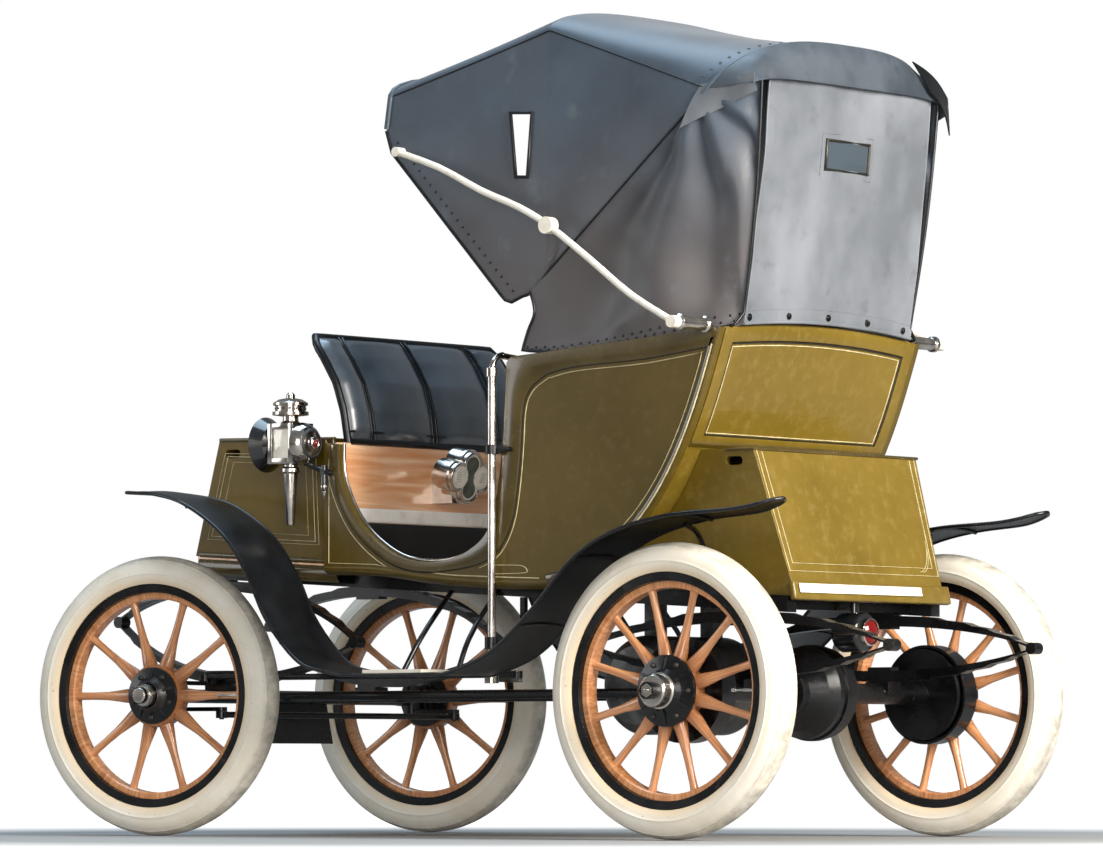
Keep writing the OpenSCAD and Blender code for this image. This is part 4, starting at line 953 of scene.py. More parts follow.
def makeHood():
    canopy = sheetBy("canopy", hoodSet["columns"], hoodSet["rows"], hoodPoint)
    quarters = sheetBy("quarter", quarterSet["columns"], quarterSet["rows"], quarterPoint)
    if quarters.data.polygons[0].normal.y < 0:
        editAll(quarters)
        bpy.ops.mesh.flip_normals()
        objectMode()
    bothSides(quarters)
    hood = joined("hood-leather", [canopy, quarters])
    area = meshArea(hood)
    print("sheets: hood", [round(v, 3) for v in cutSize(hoodPoint)], round(area, 3))
    thicken(hood, hoodSet["leather"], -1)
    tool = plateFrom("windowTool", hoodSet["window"], lambda x, z: Vector((x, 0.38, z)), (0, 0.12, 0))
    cutBy(hood, bothSides(tool))
    soften(hood, 50)
    dress(hood, "hoodHide", ["hood_sides", "hood_top"])

    rim = tubeAlong("rim", [sideSpot(x, z, 0.001) for x, z in hoodSet["window"]], 0.0062, closed=True)
    lower = [between(hoodSet["foot"], 0.25 + 0.75 * k / 60) for k in range(61)]
    binding = tubeAlong("binding", [sideSpot(x, z, 0.0005) for x, z in lower], 0.0048)
    edge = [quarterEdge("notch", 1 - k / 12) for k in range(13)]
    edge += [quarterEdge("low", k / 30) for k in range(31)]
    edge += [quarterPoint(1, k / 20) for k in range(1, 21)]
    skirt = tubeAlong("skirt", edge, 0.0046)
    (ax, az), (bx, bz) = hoodSet["seam"]
    welt = tubeAlong("welt", [sideSpot(lerp(ax, bx, k / 16), lerp(az, bz, k / 16), 0.0008)
                              for k in range(17)], 0.0036, bent=True)
    shoulder = tubeAlong("shoulder", [hoodPoint(0.01 + 0.98 * k / 60, hoodSet["sideShare"] + 0.006)
                                      for k in range(61)], 0.0026, bent=True)
    seams = bothSides(joined("hood-seams", [rim, binding, skirt, welt, shoulder]))
    dress(seams, "fenderHide")
    bow = tubeAlong("frontRoll", [hoodPoint(1, 0.02 + 0.96 * k / 48) for k in range(49)], 0.0085)
    share = hoodSet["sideShare"]
    topShare = 1 - 2 * share
    back = [hoodPoint(0, share + topShare * k / 40) for k in range(41)]
    back = tubeAlong("rearRoll", back, 0.0075)
    trim = joined("hood-rolls", [bow, back])
    dress(trim, "hoodHide")

    spots = []
    edge = smoothLine(hoodSet["tackLine"], 12)
    for k in range(22):
        point = alongLine(edge, k / 21)
        spots.append((sideSpot(point.x - 0.012, point.y + 0.012, 0.0005), (0, 1, 0)))
    for row, shift in ((0.024, 0.0), (0.050, 0.5)):
        for k in range(23):
            spots.append((quarterPoint((k + shift) / 23, row) + Vector((0, 0.0012, 0)), (0, 1, 0)))
    tacks = bothSides(tackRow("sideTacks", spots))
    over = []
    for k in range(29):
        spot = hoodPoint(0.035, share + topShare * (k + 0.5) / 29)
        over.append((spot + Vector((0, 0, 0.001)), Vector((-0.2, spot.y * 1.2, 0.6))))
    tacks = joined("hood-tacks", [tacks, tackRow("bowTacks", over)])
    dress(tacks, "ironBlack")
    ear = sheetBy("hood-ears", 16, 12, earPoint)
    ear = bothSides(soften(thicken(ear, 0.002, 0), 50))
    dress(ear, "curtainCloth")


curtainSet = {
    "left": 0.388, "slit": 0.020, "right": -0.398, "head": 2.128, "headX": -1.036, "footX": -0.957,
    "foot": 1.411, "arch": 0.025, "archHalf": 0.44,
    "cloth": 0.0018, "folds": 0.0085, "windowAt": (-0.015, 1.905), "windowSize": (0.205, 0.076),
    "buttons": [0.365, 0.185, 0.0, -0.185, -0.355], "hem": 0.036, "rearEdge": 2.098,
    "stud": [(0.0, 0.006), (0.005, 0.0055), (0.0062, 0.003), (0.0062, 0.0015), (0.011, 0.001),
             (0.0115, -0.002)],
    # strap on the hood's right rear shoulder: the hood's edge, drawn near-black as painted shade for that
    # corner in shadow
    "shadedStrap": [(-1.046, -0.290, 2.196), (-1.066, -0.352, 2.112), (-1.044, -0.464, 2.104),
              (-1.052, -0.462, 1.998)],
}


def curtainLow(y):  # height of the curtain's arched foot
    return curtainSet["foot"] + curtainSet["arch"] * (1 - (y / curtainSet["archHalf"]) ** 2)


def curtainPoint(a, b):
    y = lerp(curtainSet["left"], curtainSet["right"], a) - curtainSet["slit"] * b * (1 - a) ** 6
    z = lerp(curtainLow(y), curtainSet["head"], b)
    x = lerp(curtainSet["footX"], curtainSet["headX"], b)
    loose = math.sin(math.pi * b) ** 0.6
    hang = math.sin(y * 17 + 1.6 * wrinkle(y, 0, z, 0.4)) * 0.5 + wrinkle(y * 1.6, 7, z * 0.7, 0.14)
    x -= curtainSet["folds"] * hang * (0.35 + 0.65 * loose) + 0.006 * loose
    return Vector((x, y, z))


def curtainShare(y, z):  # where a point lies on the curtain, as shares
    low = curtainLow(y)
    width = curtainSet["left"] - curtainSet["right"]
    return (curtainSet["left"] - y) / width, (z - low) / (curtainSet["head"] - low)


def onCurtain(y, z, out=0.0):
    return curtainPoint(*curtainShare(y, z)) - Vector((out, 0, 0))


def valancePoint(a, b):  # from the leaning bow down to the rear edge over the curtain
    s = -math.cos(math.pi * lerp(0.01, 0.99, a))
    rise = archRise(s)
    shoulderX, shoulder, crownX, crown = hoodSet["head"][0][1:]
    top = Vector((lerp(shoulderX, crownX, rise) - 0.005, -(hoodSet["half"] + 0.002) * s,
                  lerp(shoulder, crown, rise) + 0.004))
    low = Vector((-1.054 + 0.006 * abs(s) ** 6, -0.464 * s, curtainSet["rearEdge"] - 0.022 * abs(s) ** 6))
    fold = 0.004 * wrinkle(s * 2, 1, b, 0.5) * b
    corner = 0.016 * math.exp(-((abs(s) - 0.88) / 0.09) ** 2)
    swell = Vector((-0.010, 0, 0.008 + corner)) * (1 - abs(s) ** 8) ** 0.5
    return top.lerp(low, b) + swell * math.sin(math.pi * b) + Vector((fold, 0, 0))


def windowOutline(grow=0.0):
    (y, z), (w, h) = curtainSet["windowAt"], curtainSet["windowSize"]
    w, h = w / 2 + grow, h / 2 + grow
    return [(y + w, z + h), (y - w, z + h), (y - w, z - h), (y + w, z - h)]


def makeCurtain():
    curtain = sheetBy("rear-curtain-cloth", 84, 84, curtainPoint)
    area = meshArea(curtain)
    thicken(curtain, curtainSet["cloth"], 0)
    cutBy(curtain, plateFrom("windowTool", windowOutline(), lambda y, z: Vector((-1.08, y, z)),
                             (0.14, 0, 0)))
    soften(curtain, 50)
    dress(curtain, "curtainCloth", ["rear_curtain"])

    frameRing = tubeAlong("ring", [onCurtain(y, z, 0.002) for y, z in windowOutline(0.003)], 0.006, True)
    outer = tubeAlong("patch", [onCurtain(y, z, 0.0012) for y, z in windowOutline(0.022)], 0.0018, True, 1)
    strip = [onCurtain(lerp(curtainSet["left"], curtainSet["right"], k / 30),
                       curtainSet["foot"] + 0.006 + curtainSet["hem"]
                       + 0.9 * curtainSet["arch"] * (1 - (k / 15 - 1) ** 2), 0.0008) for k in range(31)]
    stitch = tubeAlong("hemStitch", strip, 0.0011, ring=1, bent=True)
    foot = tubeAlong("hem", [curtainPoint(k / 40, 0.004) for k in range(41)], 0.0048, bent=True)
    edges = [tubeAlong("edge", [curtainPoint(a, k / 40) for k in range(41)], 0.0032, bent=True)
             for a in (0.004, 0.996)]
    ring = joined("curtain-hems", [stitch, foot, outer] + edges)
    dress(ring, "curtainCloth")
    dress(joined("curtain-window-frame", [frameRing]), "shadowLineAndFrameBlack")

    near, far = windowOutline()[0], windowOutline()[2]
    pane = sheetBy("curtain-window", 4, 4,
                   lambda a, b: onCurtain(lerp(near[0], far[0], a), lerp(far[1], near[1], b)))
    dress(thicken(pane, 0.0012, 0), "windowGlass")

    spots = [(onCurtain(y, curtainLow(y) + 0.020, 0.001), (-1, 0, 0)) for y in curtainSet["buttons"]]
    stud = turned("stud", curtainSet["stud"], 16)
    studs = atSpots("curtain-studs", stud, spots)
    dress(studs, "ironBlack")

    valance = sheetBy("hood-valance", 80, 14, valancePoint)
    valanceArea = meshArea(valance)
    thicken(valance, 0.0022, 0)
    soften(valance, 50)
    dress(valance, "valanceHide")
    lip = tubeAlong("valance-hem", [valancePoint(k / 60, 0.99) for k in range(61)], 0.0030, bent=True)
    dress(lip, "valanceHide")
    # a near-black strap on the hood's right rear shoulder: partly the hood's bound edge, its darkness
    # painted shade
    crownTop, crownLow, shoulderTop, shoulderLow = (Vector(q) for q in curtainSet["shadedStrap"])

    def shadedStrapSpot(a, b):
        spot = crownTop.lerp(crownLow, b).lerp(shoulderTop.lerp(shoulderLow, b), a)
        return spot + Vector((-0.008, -0.004, 0.009)) * math.sin(math.pi * a)

    shadedStrap = sheetBy("hood-shaded-strap", 24, 6, shadedStrapSpot)
    dress(soften(thicken(shadedStrap, 0.004, 0)), "fenderHide")
    sizes = cutSize(curtainPoint), cutSize(valancePoint)
    for title, size, spread in (("curtain", sizes[0], area), ("valance", sizes[1], valanceArea)):
        print("sheets:", title, [round(v, 3) for v in size], round(spread, 3))


makeHood()
makeCurtain()
print("hood: canopy, curtain and valance")


# padded dash: four stuffed flutes and a rolled edge

dashSet = {
    "line": [(0, 0.462, 1.134), (0.30, 0.474, 1.225), (0.55, 0.500, 1.310), (0.80, 0.545, 1.385),
             (1.0, 0.592, 1.447)],
    "half": 0.418, "seams": [0, 0.125, 0.475, 0.825, 1], "puff": 0.020, "wall": 0.022, "welt": 0.0046,
    "pair": 0.011,
}


def dashPoint(a, b, out=0.0):  # a across, b up
    x, z = between(dashSet["line"], b)
    y = lerp(dashSet["half"], -dashSet["half"], a) * (1 - 0.04 * (1 - b))
    if b > 0.85:  # rounded upper corners
        y *= 1 - 0.05 * ((b - 0.85) / 0.15) ** 2
    start = max(q for q in dashSet["seams"][:-1] if q <= a + 1e-6)
    flute = (a - start) / (min(q for q in dashSet["seams"] if q > start) - start)
    swell = max(1 - abs(2 * flute - 1) ** 2.6, 0) * ease(b / 0.12) * ease((1 - b) / 0.05)
    return Vector((x - 0.008 - out - dashSet["puff"] * swell, y, z + 0.006 * swell))


def makeDash():
    face = sheetBy("dash-padding", 96, 40, dashPoint)
    thicken(face, dashSet["wall"], 1 if face.data.polygons[0].normal.x > 0 else -1)
    soften(rounded(face, 0.004, 2, 60), 50)
    dress(face, "dashHide", ["dash"])
    welts = [tubeAlong("welt", [dashPoint(k + d, b / 20, 0.002) for b in range(21)], dashSet["welt"],
                       bent=True)
             for k in dashSet["seams"][1:-1] for d in (-dashSet["pair"], dashSet["pair"])]
    rim = [dashPoint(0, b / 16, -0.008) for b in range(16)]
    rim += [dashPoint(k / 24, 1, -0.008) for k in range(25)]
    rim += [dashPoint(1, 1 - b / 16, -0.008) for b in range(1, 17)]
    welts.append(tubeAlong("rim", rim, 0.012, ring=3))
    low = [tubeAlong("low", [dashPoint(k / 24, 0, 0.004) + Vector((0, 0, h)) for k in range(25)], r,
                     bent=True)
           for h, r in ((0.004, 0.009), (0.034, 0.004))]
    dress(joined("dash-welts", welts + low), "fenderHide")


makeDash()


# seat: stuffed by simulation

seatSet = {
    "cushion": {"shrink": 0.016, "cap": 0.024, "voxel": 0.013},
    "back": {"cap": 0.022, "voxel": 0.013},
    "backFoot": (-0.780, -0.700), "backHead": (-0.868, -0.783), "pressure": 4.0, "frames": 20,
    "button": [(0.0, 0.005), (0.006, 0.0045), (0.010, 0.002), (0.0105, -0.006)],
}


def stuffedPad(name, spec, outline, half):
    pad = plateFrom(name, outline, lambda x, z: Vector((x, -half, z)), (0, 2 * half, 0))
    modify(pad, "REMESH", mode="VOXEL", voxel_size=spec["voxel"])
    rest = [vert.co.copy() for vert in pad.data.vertices]
    cloth = pad.modifiers.new("stuffing", "CLOTH")
    cloth.settings.use_pressure = True
    cloth.settings.uniform_pressure_force = seatSet["pressure"]
    cloth.settings.effector_weights.gravity = 0
    cloth.settings.quality = 5
    for step in range(1, seatSet["frames"] + 1):
        bpy.context.scene.frame_set(step)
    applyMods(pad)
    bpy.context.scene.frame_set(1)
    for vert, start in zip(pad.data.vertices, rest):
        move = vert.co - start
        if move.length > spec["cap"]:
            vert.co = start + move.normalized() * spec["cap"]
    modify(pad, "SUBSURF", levels=1, render_levels=1)
    return soften(pad, 80)


def makeSeat():
    low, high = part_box("seat_cushion")
    s = seatSet["cushion"]["shrink"]
    cushion = stuffedPad("seat-cushion-padding", seatSet["cushion"],
                         [(low[0] + s, low[2] + s * 0.6), (high[0] - s, low[2] + s * 0.6),
                          (high[0] - s, high[2] - s),
                          (low[0] + s, high[2] - s)], high[1] - s)
    dress(cushion, "seatHide", ["seat_cushion"])
    backLow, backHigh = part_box("seat_back")
    foot, head = backLow[2], backHigh[2]
    (footRear, footFront), (headRear, headFront) = seatSet["backFoot"], seatSet["backHead"]
    outline = [(footRear, foot + 0.012), (footFront, foot + 0.012), (headFront, head - 0.016),
               (headRear, head - 0.016)]
    back = stuffedPad("seat-back-padding", seatSet["back"], outline, backHigh[1] - s)
    dress(back, "seatHide", ["seat_back"])
    tufts = []
    for row in range(3):
        for k in range(8 - row % 2):
            y = (k - 3.5 + 0.5 * (row % 2)) * 0.105
            z = lerp(foot + 0.07, head - 0.07, row / 2)
            tufts.append((Vector((lerp(footFront, headFront, (z - foot) / (head - foot)) + 0.012, y, z)),
                          (1, 0, 0.3)))
    for row in range(3):
        for k in range(7 + row % 2):
            tufts.append((Vector((-0.62 + 0.17 * row, (k - 3 - 0.5 * (row % 2)) * 0.115, high[2] - 0.002)),
                          (0, 0, 1)))
    button = turned("button", seatSet["button"], 14)
    dress(atSpots("seat-buttons", button, tufts), "seatHide")


makeSeat()
print("dash and seat")


# fenders: stretched leather over an iron rim, pointed at the free ends

fenderSet = {
    "line": [(1.110, 0.998), (1.030, 0.993), (0.938, 0.987), (0.800, 0.955), (0.650, 0.864), (0.555, 0.747),
             (0.480, 0.615), (0.367, 0.500), (0.270, 0.468), (0.160, 0.456), (-0.120, 0.456),
             (-0.191, 0.460), (-0.338, 0.513), (-0.483, 0.626), (-0.627, 0.765), (-0.770, 0.838),
             (-0.947, 0.877), (-1.157, 0.893), (-1.270, 0.920)],
    "inner": 0.519, "outer": 0.738, "crown": 0.010, "leather": 0.0035, "rim": 0.0055,
    "tip": 0.34, "tipShare": 0.24, "ribs": (0.12, 0.22, 0.32, 0.66, 0.76, 0.88),
    "stays": [[(0.66, 0.40, 0.760), (0.66, 0.47, 0.800), (0.66, 0.56, 0.862)],
              [(0.11, 0.36, 0.700), (0.11, 0.50, 0.560), (0.12, 0.56, 0.470)],
              [(-0.06, 0.36, 0.700), (-0.07, 0.50, 0.560), (-0.08, 0.56, 0.470)],
              [(-0.86, 0.44, 0.800), (-0.88, 0.50, 0.842), (-0.90, 0.58, 0.862)],
              [(-0.62, 0.45, 0.735), (-0.63, 0.50, 0.745), (-0.64, 0.57, 0.755)]],
}
fenderLine = smoothLine(fenderSet["line"], 8)
fenderLength = sum((b - a).length for a, b in zip(fenderLine, fenderLine[1:]))


def fenderPoint(a, b):  # a from the front tip over the step to the rear tip, b from inside to outside
    point = alongLine(fenderLine, a)
    away = min(a, 1 - a) * fenderLength
    wide = 1.0
    if away < fenderSet["tip"]:
        wide = lerp(fenderSet["tipShare"], 1, math.sin(math.pi / 2 * away / fenderSet["tip"]))
        if away < 0.03:
            wide *= math.sqrt(max(1 - (1 - away / 0.03) ** 2, 0.02))
    middle = (fenderSet["inner"] + fenderSet["outer"]) / 2
    half = (fenderSet["outer"] - fenderSet["inner"]) / 2 * wide
    s = 2 * b - 1
    flat = ease((abs(point.x - 0.02) - 0.16) / 0.2)  # level under the step's pad
    lift = flat * fenderSet["crown"] * wide * (1 - s * s)
    return Vector((point.x, middle + half * s, point.y + 0.002 + lift))


def makeFenders():
    hide = sheetBy("fenderHide", 200, 12, fenderPoint)
    long, wide = cutSize(fenderPoint, 80)
    soften(thicken(hide, fenderSet["leather"], 0), 50)
    loop = [fenderPoint(1 - k / 150, 0) for k in range(151)] + [fenderPoint(k / 150, 1) for k in range(151)]
    rims = [tubeAlong("fenderRim", loop, fenderSet["rim"], closed=True)]
    for a in fenderSet["ribs"]:  # underneath
        rims.append(tubeAlong("rib", [fenderPoint(a, b / 8) - Vector((0, 0, 0.005)) for b in range(9)],
                              0.005, ring=1, bent=True))
    hide = bothSides(joined("fender-leather", [hide]))
    dress(hide, "fenderHide", ["fenders"])
    stays = [tubeAlong("stay", points, 0.0075, bent=True) for points in fenderSet["stays"]]
    irons = bothSides(joined("fender-irons", rims + stays))
    dress(irons, "ironBlack")


makeFenders()
print("fenders")


# body trim: raised bands, grooves drawn dark as painted shadow, hand-drawn stripes and a painted highlight

trimSet = {
    "face": 0.470, "raise": 0.0045, "thin": 0.0014, "thick": 0.0028, "groove": 0.0028,
    "door": [(0.438, 1.127), (0.429, 1.020), (0.355, 0.894), (0.225, 0.804), (0.080, 0.782),
             (-0.050, 0.813), (-0.131, 0.897), (-0.172, 1.120), (-0.185, 1.340)],
    "rearCurve": ((-0.938, 1.407), (-0.865, 1.195), (-0.740, 0.765), (-0.330, 0.715)),
    "inner": [(0.080, 0.752), (-0.050, 0.766), (-0.125, 0.790), (-0.170, 0.830), (-0.204, 0.901),
              (-0.223, 1.006), (-0.233, 1.103), (-0.242, 1.209), (-0.271, 1.264), (-0.329, 1.300)],
    "innerTop": [(-0.329, 1.300), (-0.435, 1.318), (-0.681, 1.330), (-0.906, 1.356)],
    "low": [(0.199, 0.780), (0.120, 0.757), (0.031, 0.744), (-0.077, 0.738), (-0.175, 0.733),
            (-0.300, 0.728)],
    "loop": [(-0.120, 0.768), (-0.223, 0.766), (-0.248, 0.760), (-0.256, 0.752), (-0.246, 0.744),
             (-0.140, 0.743)],
    "sill": [(0.494, 0.752), (0.300, 0.745), (0.120, 0.722), (-0.060, 0.706), (-0.250, 0.698),
             (-0.420, 0.702), (-0.560, 0.730)],
}
doorLine = smoothLine(trimSet["door"], 10)
rearLine = bezierLine(*trimSet["rearCurve"], 28)


def onSide(point, out=0.0):
    return Vector((point[0], trimSet["face"] + out, point[1]))


def drawn(name, points, radius, out=0.0, closed=False):  # a painted line on the side panel
    return tubeAlong(name, [onSide(q, out) for q in points], radius, closed, 1)


def bandBetween(name, outer, inner, steps):  # raised strip between two lines
    def spot(a, b):
        return onSide(alongLine(outer, a).lerp(alongLine(inner, a), b), 0.0006)

    return sheetBy(name, steps, 2, spot)


def raised(obj, height, toward):  # a strip pulled out of its face
    cleanNormals(obj)
    editAll(obj)
    bpy.ops.mesh.extrude_region_move(TRANSFORM_OT_translate={"value": Vector(toward) * height})
    objectMode()
    cleanNormals(obj)
    return soften(rounded(obj, 0.0014, 2, 50), 40)


def makeSideTrim():
    front, back = doorLine[:41], doorLine[40:] + [Vector((-0.202, 1.354))]
    top = [Vector((-0.202, 1.354)), Vector((-0.938, 1.407))]
    innerUp, innerTop = smoothLine(trimSet["inner"], 6), smoothLine(trimSet["innerTop"], 6)
    innerRear = offsetLine(rearLine, 0.020)
    innerRear[0] = innerTop[-1]
    innerFront = offsetLine(front, 0.028)
    innerFront[-1] = innerUp[0]
    bands = [bandBetween("front", front, innerFront, 40), bandBetween("up", back, innerUp, 60),
             bandBetween("top", top, innerTop, 30), bandBetween("rear", rearLine, innerRear, 40)]
    band = bothSides(raised(joined("side-mouldings", bands), trimSet["raise"], (0, 1, 0)))
    # the raised bands take the darker copy of the body olive: painted shade
    dress(band, "shadedMouldingPaint")

    sillLine = smoothLine(trimSet["sill"], 8)

    def sillSpot(a, b):  # bulges out between its edges
        bulge = 0.024 * math.sin(math.pi * min(b * 1.15, 1)) ** 0.7
        return onSide(alongLine(sillLine, a) + Vector((0, 0.044 * b)), -0.022 + bulge)

    sill = sheetBy("sill", 60, 8, sillSpot)
    sill = bothSides(soften(thicken(sill, 0.004, -1), 60))
    dress(joined("sill-moulding", [sill]), "bodyPaint")

    # dark lines inside the bands: painted shadow of the step down to the panel
    grooves = [drawn("groove", innerUp + innerTop[1:], trimSet["groove"], 0.001),
               drawn("groove", offsetLine(rearLine, 0.0215)[1:], trimSet["groove"], 0.001),
               drawn("groove", offsetLine(front, 0.0295), trimSet["groove"], 0.001)]
    dress(bothSides(joined("side-groove-shadows", grooves)), "shadowLineAndFrameBlack")

    inside = offsetLine(innerUp[8:], 0.012) + offsetLine(innerTop, 0.013)[1:-1]
    rear = offsetLine(rearLine, 0.036)
    rear = [q for q in rear if 0.80 < q.y < 1.338]
    corner = Vector((rear[0].x - 0.006, 1.341))
    # the thick cream line along the rear curve, raised on the band, is a painted highlight on the
    # moulding's edge; the other lines are pinstripes
    stripes = [drawn("thin", inside + [corner] + rear, trimSet["thin"], 0.0006),
               drawn("thick", pieceOf(offsetLine(rearLine, 0.009), 0.03, 0.82), trimSet["thick"],
                     trimSet["raise"] + 0.0004)]
    edge = pieceOf(offsetLine(doorLine[:41], 0.044), 0.10, 0.72)
    stripes.append(drawn("front", [Vector((0.476, 1.085))] + edge
                         + [Vector((0.300, 0.778)), Vector((0.476, 0.786))],
                         trimSet["thin"], 0.0006, True))
    stripes.append(drawn("low", smoothLine(trimSet["low"], 5), 0.0018, 0.0006))
    stripes.append(drawn("loop", smoothLine(trimSet["loop"], 4), 0.0011, 0.0006))
    dress(bothSides(joined("side-stripes-and-highlight", stripes)), "stripeAndHighlightPaint")


def rearSpot(y, z, out=0.0):  # a point on the rear panel's face
    for a, b in zip(rearLine, rearLine[1:]):
        if z >= b.y:
            t = (z - a.y) / (b.y - a.y)
            return Vector((lerp(a.x, b.x, t) - out, y, z)) if t > 0 else Vector((-0.938 - out, y, z))
    return Vector((rearLine[-1].x, y, z))


rearSet = {"half": 0.448, "foot": 1.083, "border": 0.044, "raise": 0.0055, "inset": 0.056, "crown": 1.432,
           "drop": 0.025}


def panelTop(y):
    return rearSet["crown"] - rearSet["drop"] * (y / 0.47) ** 2


def rearLoop(inset, steps=14):  # the panel's outline, inset
    half, foot = rearSet["half"] - inset, rearSet["foot"] + inset * 0.7
    loop = []
    for k in range(steps + 1):
        y = lerp(half, -half, k / steps)
        loop.append((y, panelTop(y) - 0.002 - inset))
    for k in range(1, steps + 1):
        z = lerp(loop[steps][1], foot, k / steps)
        loop.append((-half, z))
    for k in range(1, steps + 1):
        loop.append((lerp(-half, half, k / steps), foot))
    for k in range(1, steps):
        loop.append((half, lerp(foot, loop[0][1], k / steps)))
    return loop


def makeRearTrim():
    outer, inner = rearLoop(0.001), rearLoop(rearSet["border"])
    count = len(outer)

    def frameSpot(a, b):
        k = round(a * count) % count
        (y0, z0), (y1, z1) = outer[k], inner[k]
        return rearSpot(lerp(y0, y1, b), lerp(z0, z1, b), 0.0006)

    border = raised(sheetBy("rear-panel-frame", count, 3, frameSpot), rearSet["raise"], (-1, 0, 0))
    # the frame takes the rear's lighter copy of the body paint: painted light
    dress(border, "sunnyPaint")
    # the groove line inside the frame is painted shadow; the stripe is a real pinstripe
    lines = {name: tubeAlong(name, [rearSpot(y, z, out) for y, z in rearLoop(inset)], radius, True, 1)
             for name, inset, radius, out in (("groove", rearSet["border"] + 0.003, 0.0034, 0.001),
                                              ("stripe", rearSet["inset"], 0.0016, 0.0006))}
    bead = tubeAlong("bead", [rearSpot(lerp(0.446, -0.446, k / 8), 1.094, 0.002) for k in range(9)], 0.008,
                     ring=3)
    dress(joined("rear-panel-groove-shadow", [lines["groove"]]), "shadowLineAndFrameBlack")
    dress(joined("rear-panel-bead", [bead]), "shadedMouldingPaint")

    stripes = [lines["stripe"]]
    for points in (boxLoop(0.012), boxLoop(0.034)):
        stripes.append(tubeAlong("boxStripe", [boxSpot(y, t, 0.0006) for y, t in points], 0.0013, ring=1))
    for radius in (0.040, 0.056):  # quarter rounds in the lower right corner
        arc = []
        for k in range(9):
            angle = math.pi / 2 * k / 8
            arc.append(boxSpot(-1 + (0.040 + radius * (1 - math.sin(angle))) / 0.365,
                               0.195 + radius * (1 - math.cos(angle)) * 1.6 / 0.41, 0.0006))
        stripes.append(tubeAlong("arc", arc, 0.0009, ring=1))
    dress(joined("rear-stripes", stripes), "stripeAndHighlightPaint")

    base = block("rear-box-plinth", (0.020, 0.740, 0.052), 0.006, 3)
    settle(base, Matrix.Translation((-1.106, 0, 0.682)) @ Matrix.Rotation(math.radians(12), 4, "Y"))
    dress(base, "sunnyPaint")
    strip = block("rear-box-strip", (0.003, 0.575, 0.026), 0.001, 1)
    settle(strip, Matrix.Translation((-1.1185, 0.062, 0.690)) @ Matrix.Rotation(math.radians(12), 4, "Y"))
    dress(strip, "ivoryPaint")
    lid = [(-0.900, 0.386), (-0.989, 0.386), (-0.989, -0.386), (-0.900, -0.386)]
    lip = tubeAlong("rear-box-lip", [Vector((x, y, 1.0745)) for x, y in lid], 0.0042)
    dress(lip, "shadedMouldingPaint")


def boxSpot(s, t, out=0.0):  # on the rear box's rear face: s from right to left, t from foot to top
    return Vector((lerp(-1.107, -0.985, t) - out, s * lerp(0.358, 0.384, t), lerp(0.668, 1.077, t)))


def boxLoop(inset):
    side, low, high = 1 - inset / 0.37, 0.14 + inset / 0.41, 1 - 0.3 * inset / 0.41
    return [(side, high), (side, low), (-side, low), (-side, high)]


frontBoxSet = {"face": 0.402, "panel": [(0.935, 1.118), (0.585, 1.102), (0.572, 0.842), (1.003, 0.868)],
               "posts": (0.518, 0.546)}


def baseLine(x):  # height of the body's raked base line
    return 0.735 + 0.0612 * x


def makeFrontTrim():
    face = frontBoxSet["face"]

    def loop(share):
        middle = Vector((0.775, 0.985))
        corners = [middle.lerp(Vector(c), share) for c in frontBoxSet["panel"]]
        return [Vector((q.x, face + 0.0006, q.y)) for q in corners]

    stripes = [tubeAlong("box", loop(share), radius, True, 1)
               for share, radius in ((1, 0.0014), (0.93, 0.0020), (0.80, 0.0011))]
    dress(bothSides(joined("front-box-stripes", stripes)), "stripeAndHighlightPaint")
    bars = []
    for x in frontBoxSet["posts"]:
        bars.append(tubeAlong("post", [Vector((x, face, z)) for z in (0.800, 0.98, 1.146)], 0.0075, ring=3))
    bars.append(tubeAlong("foot", [Vector((x, face, baseLine(x) + 0.026)) for x in (0.512, 0.75, 1.030)],
                          0.0085, ring=3))

    def plankSpot(a, b):  # the sill under the front box
        x = lerp(0.500, 1.036, a)
        return Vector((x, face - 0.006 + 0.012 * math.sin(math.pi * min(b * 1.1, 1)) ** 0.6,
                       baseLine(x) - 0.034 + 0.054 * b))

    plank = sheetBy("plank", 30, 8, plankSpot)
    bars.append(soften(thicken(plank, 0.004, 0), 60))
    bars.append(tubeAlong("head", [Vector((x, face, z)) for x, z in ((0.512, 1.1475), (0.955, 1.1575))],
                          0.0060, ring=3))
    dress(bothSides(joined("front-box-mouldings", bars)), "shadedMouldingPaint")


makeSideTrim()
makeRearTrim()
makeFrontTrim()
print("body: mouldings and stripes")


# lamps, meter and other fittings

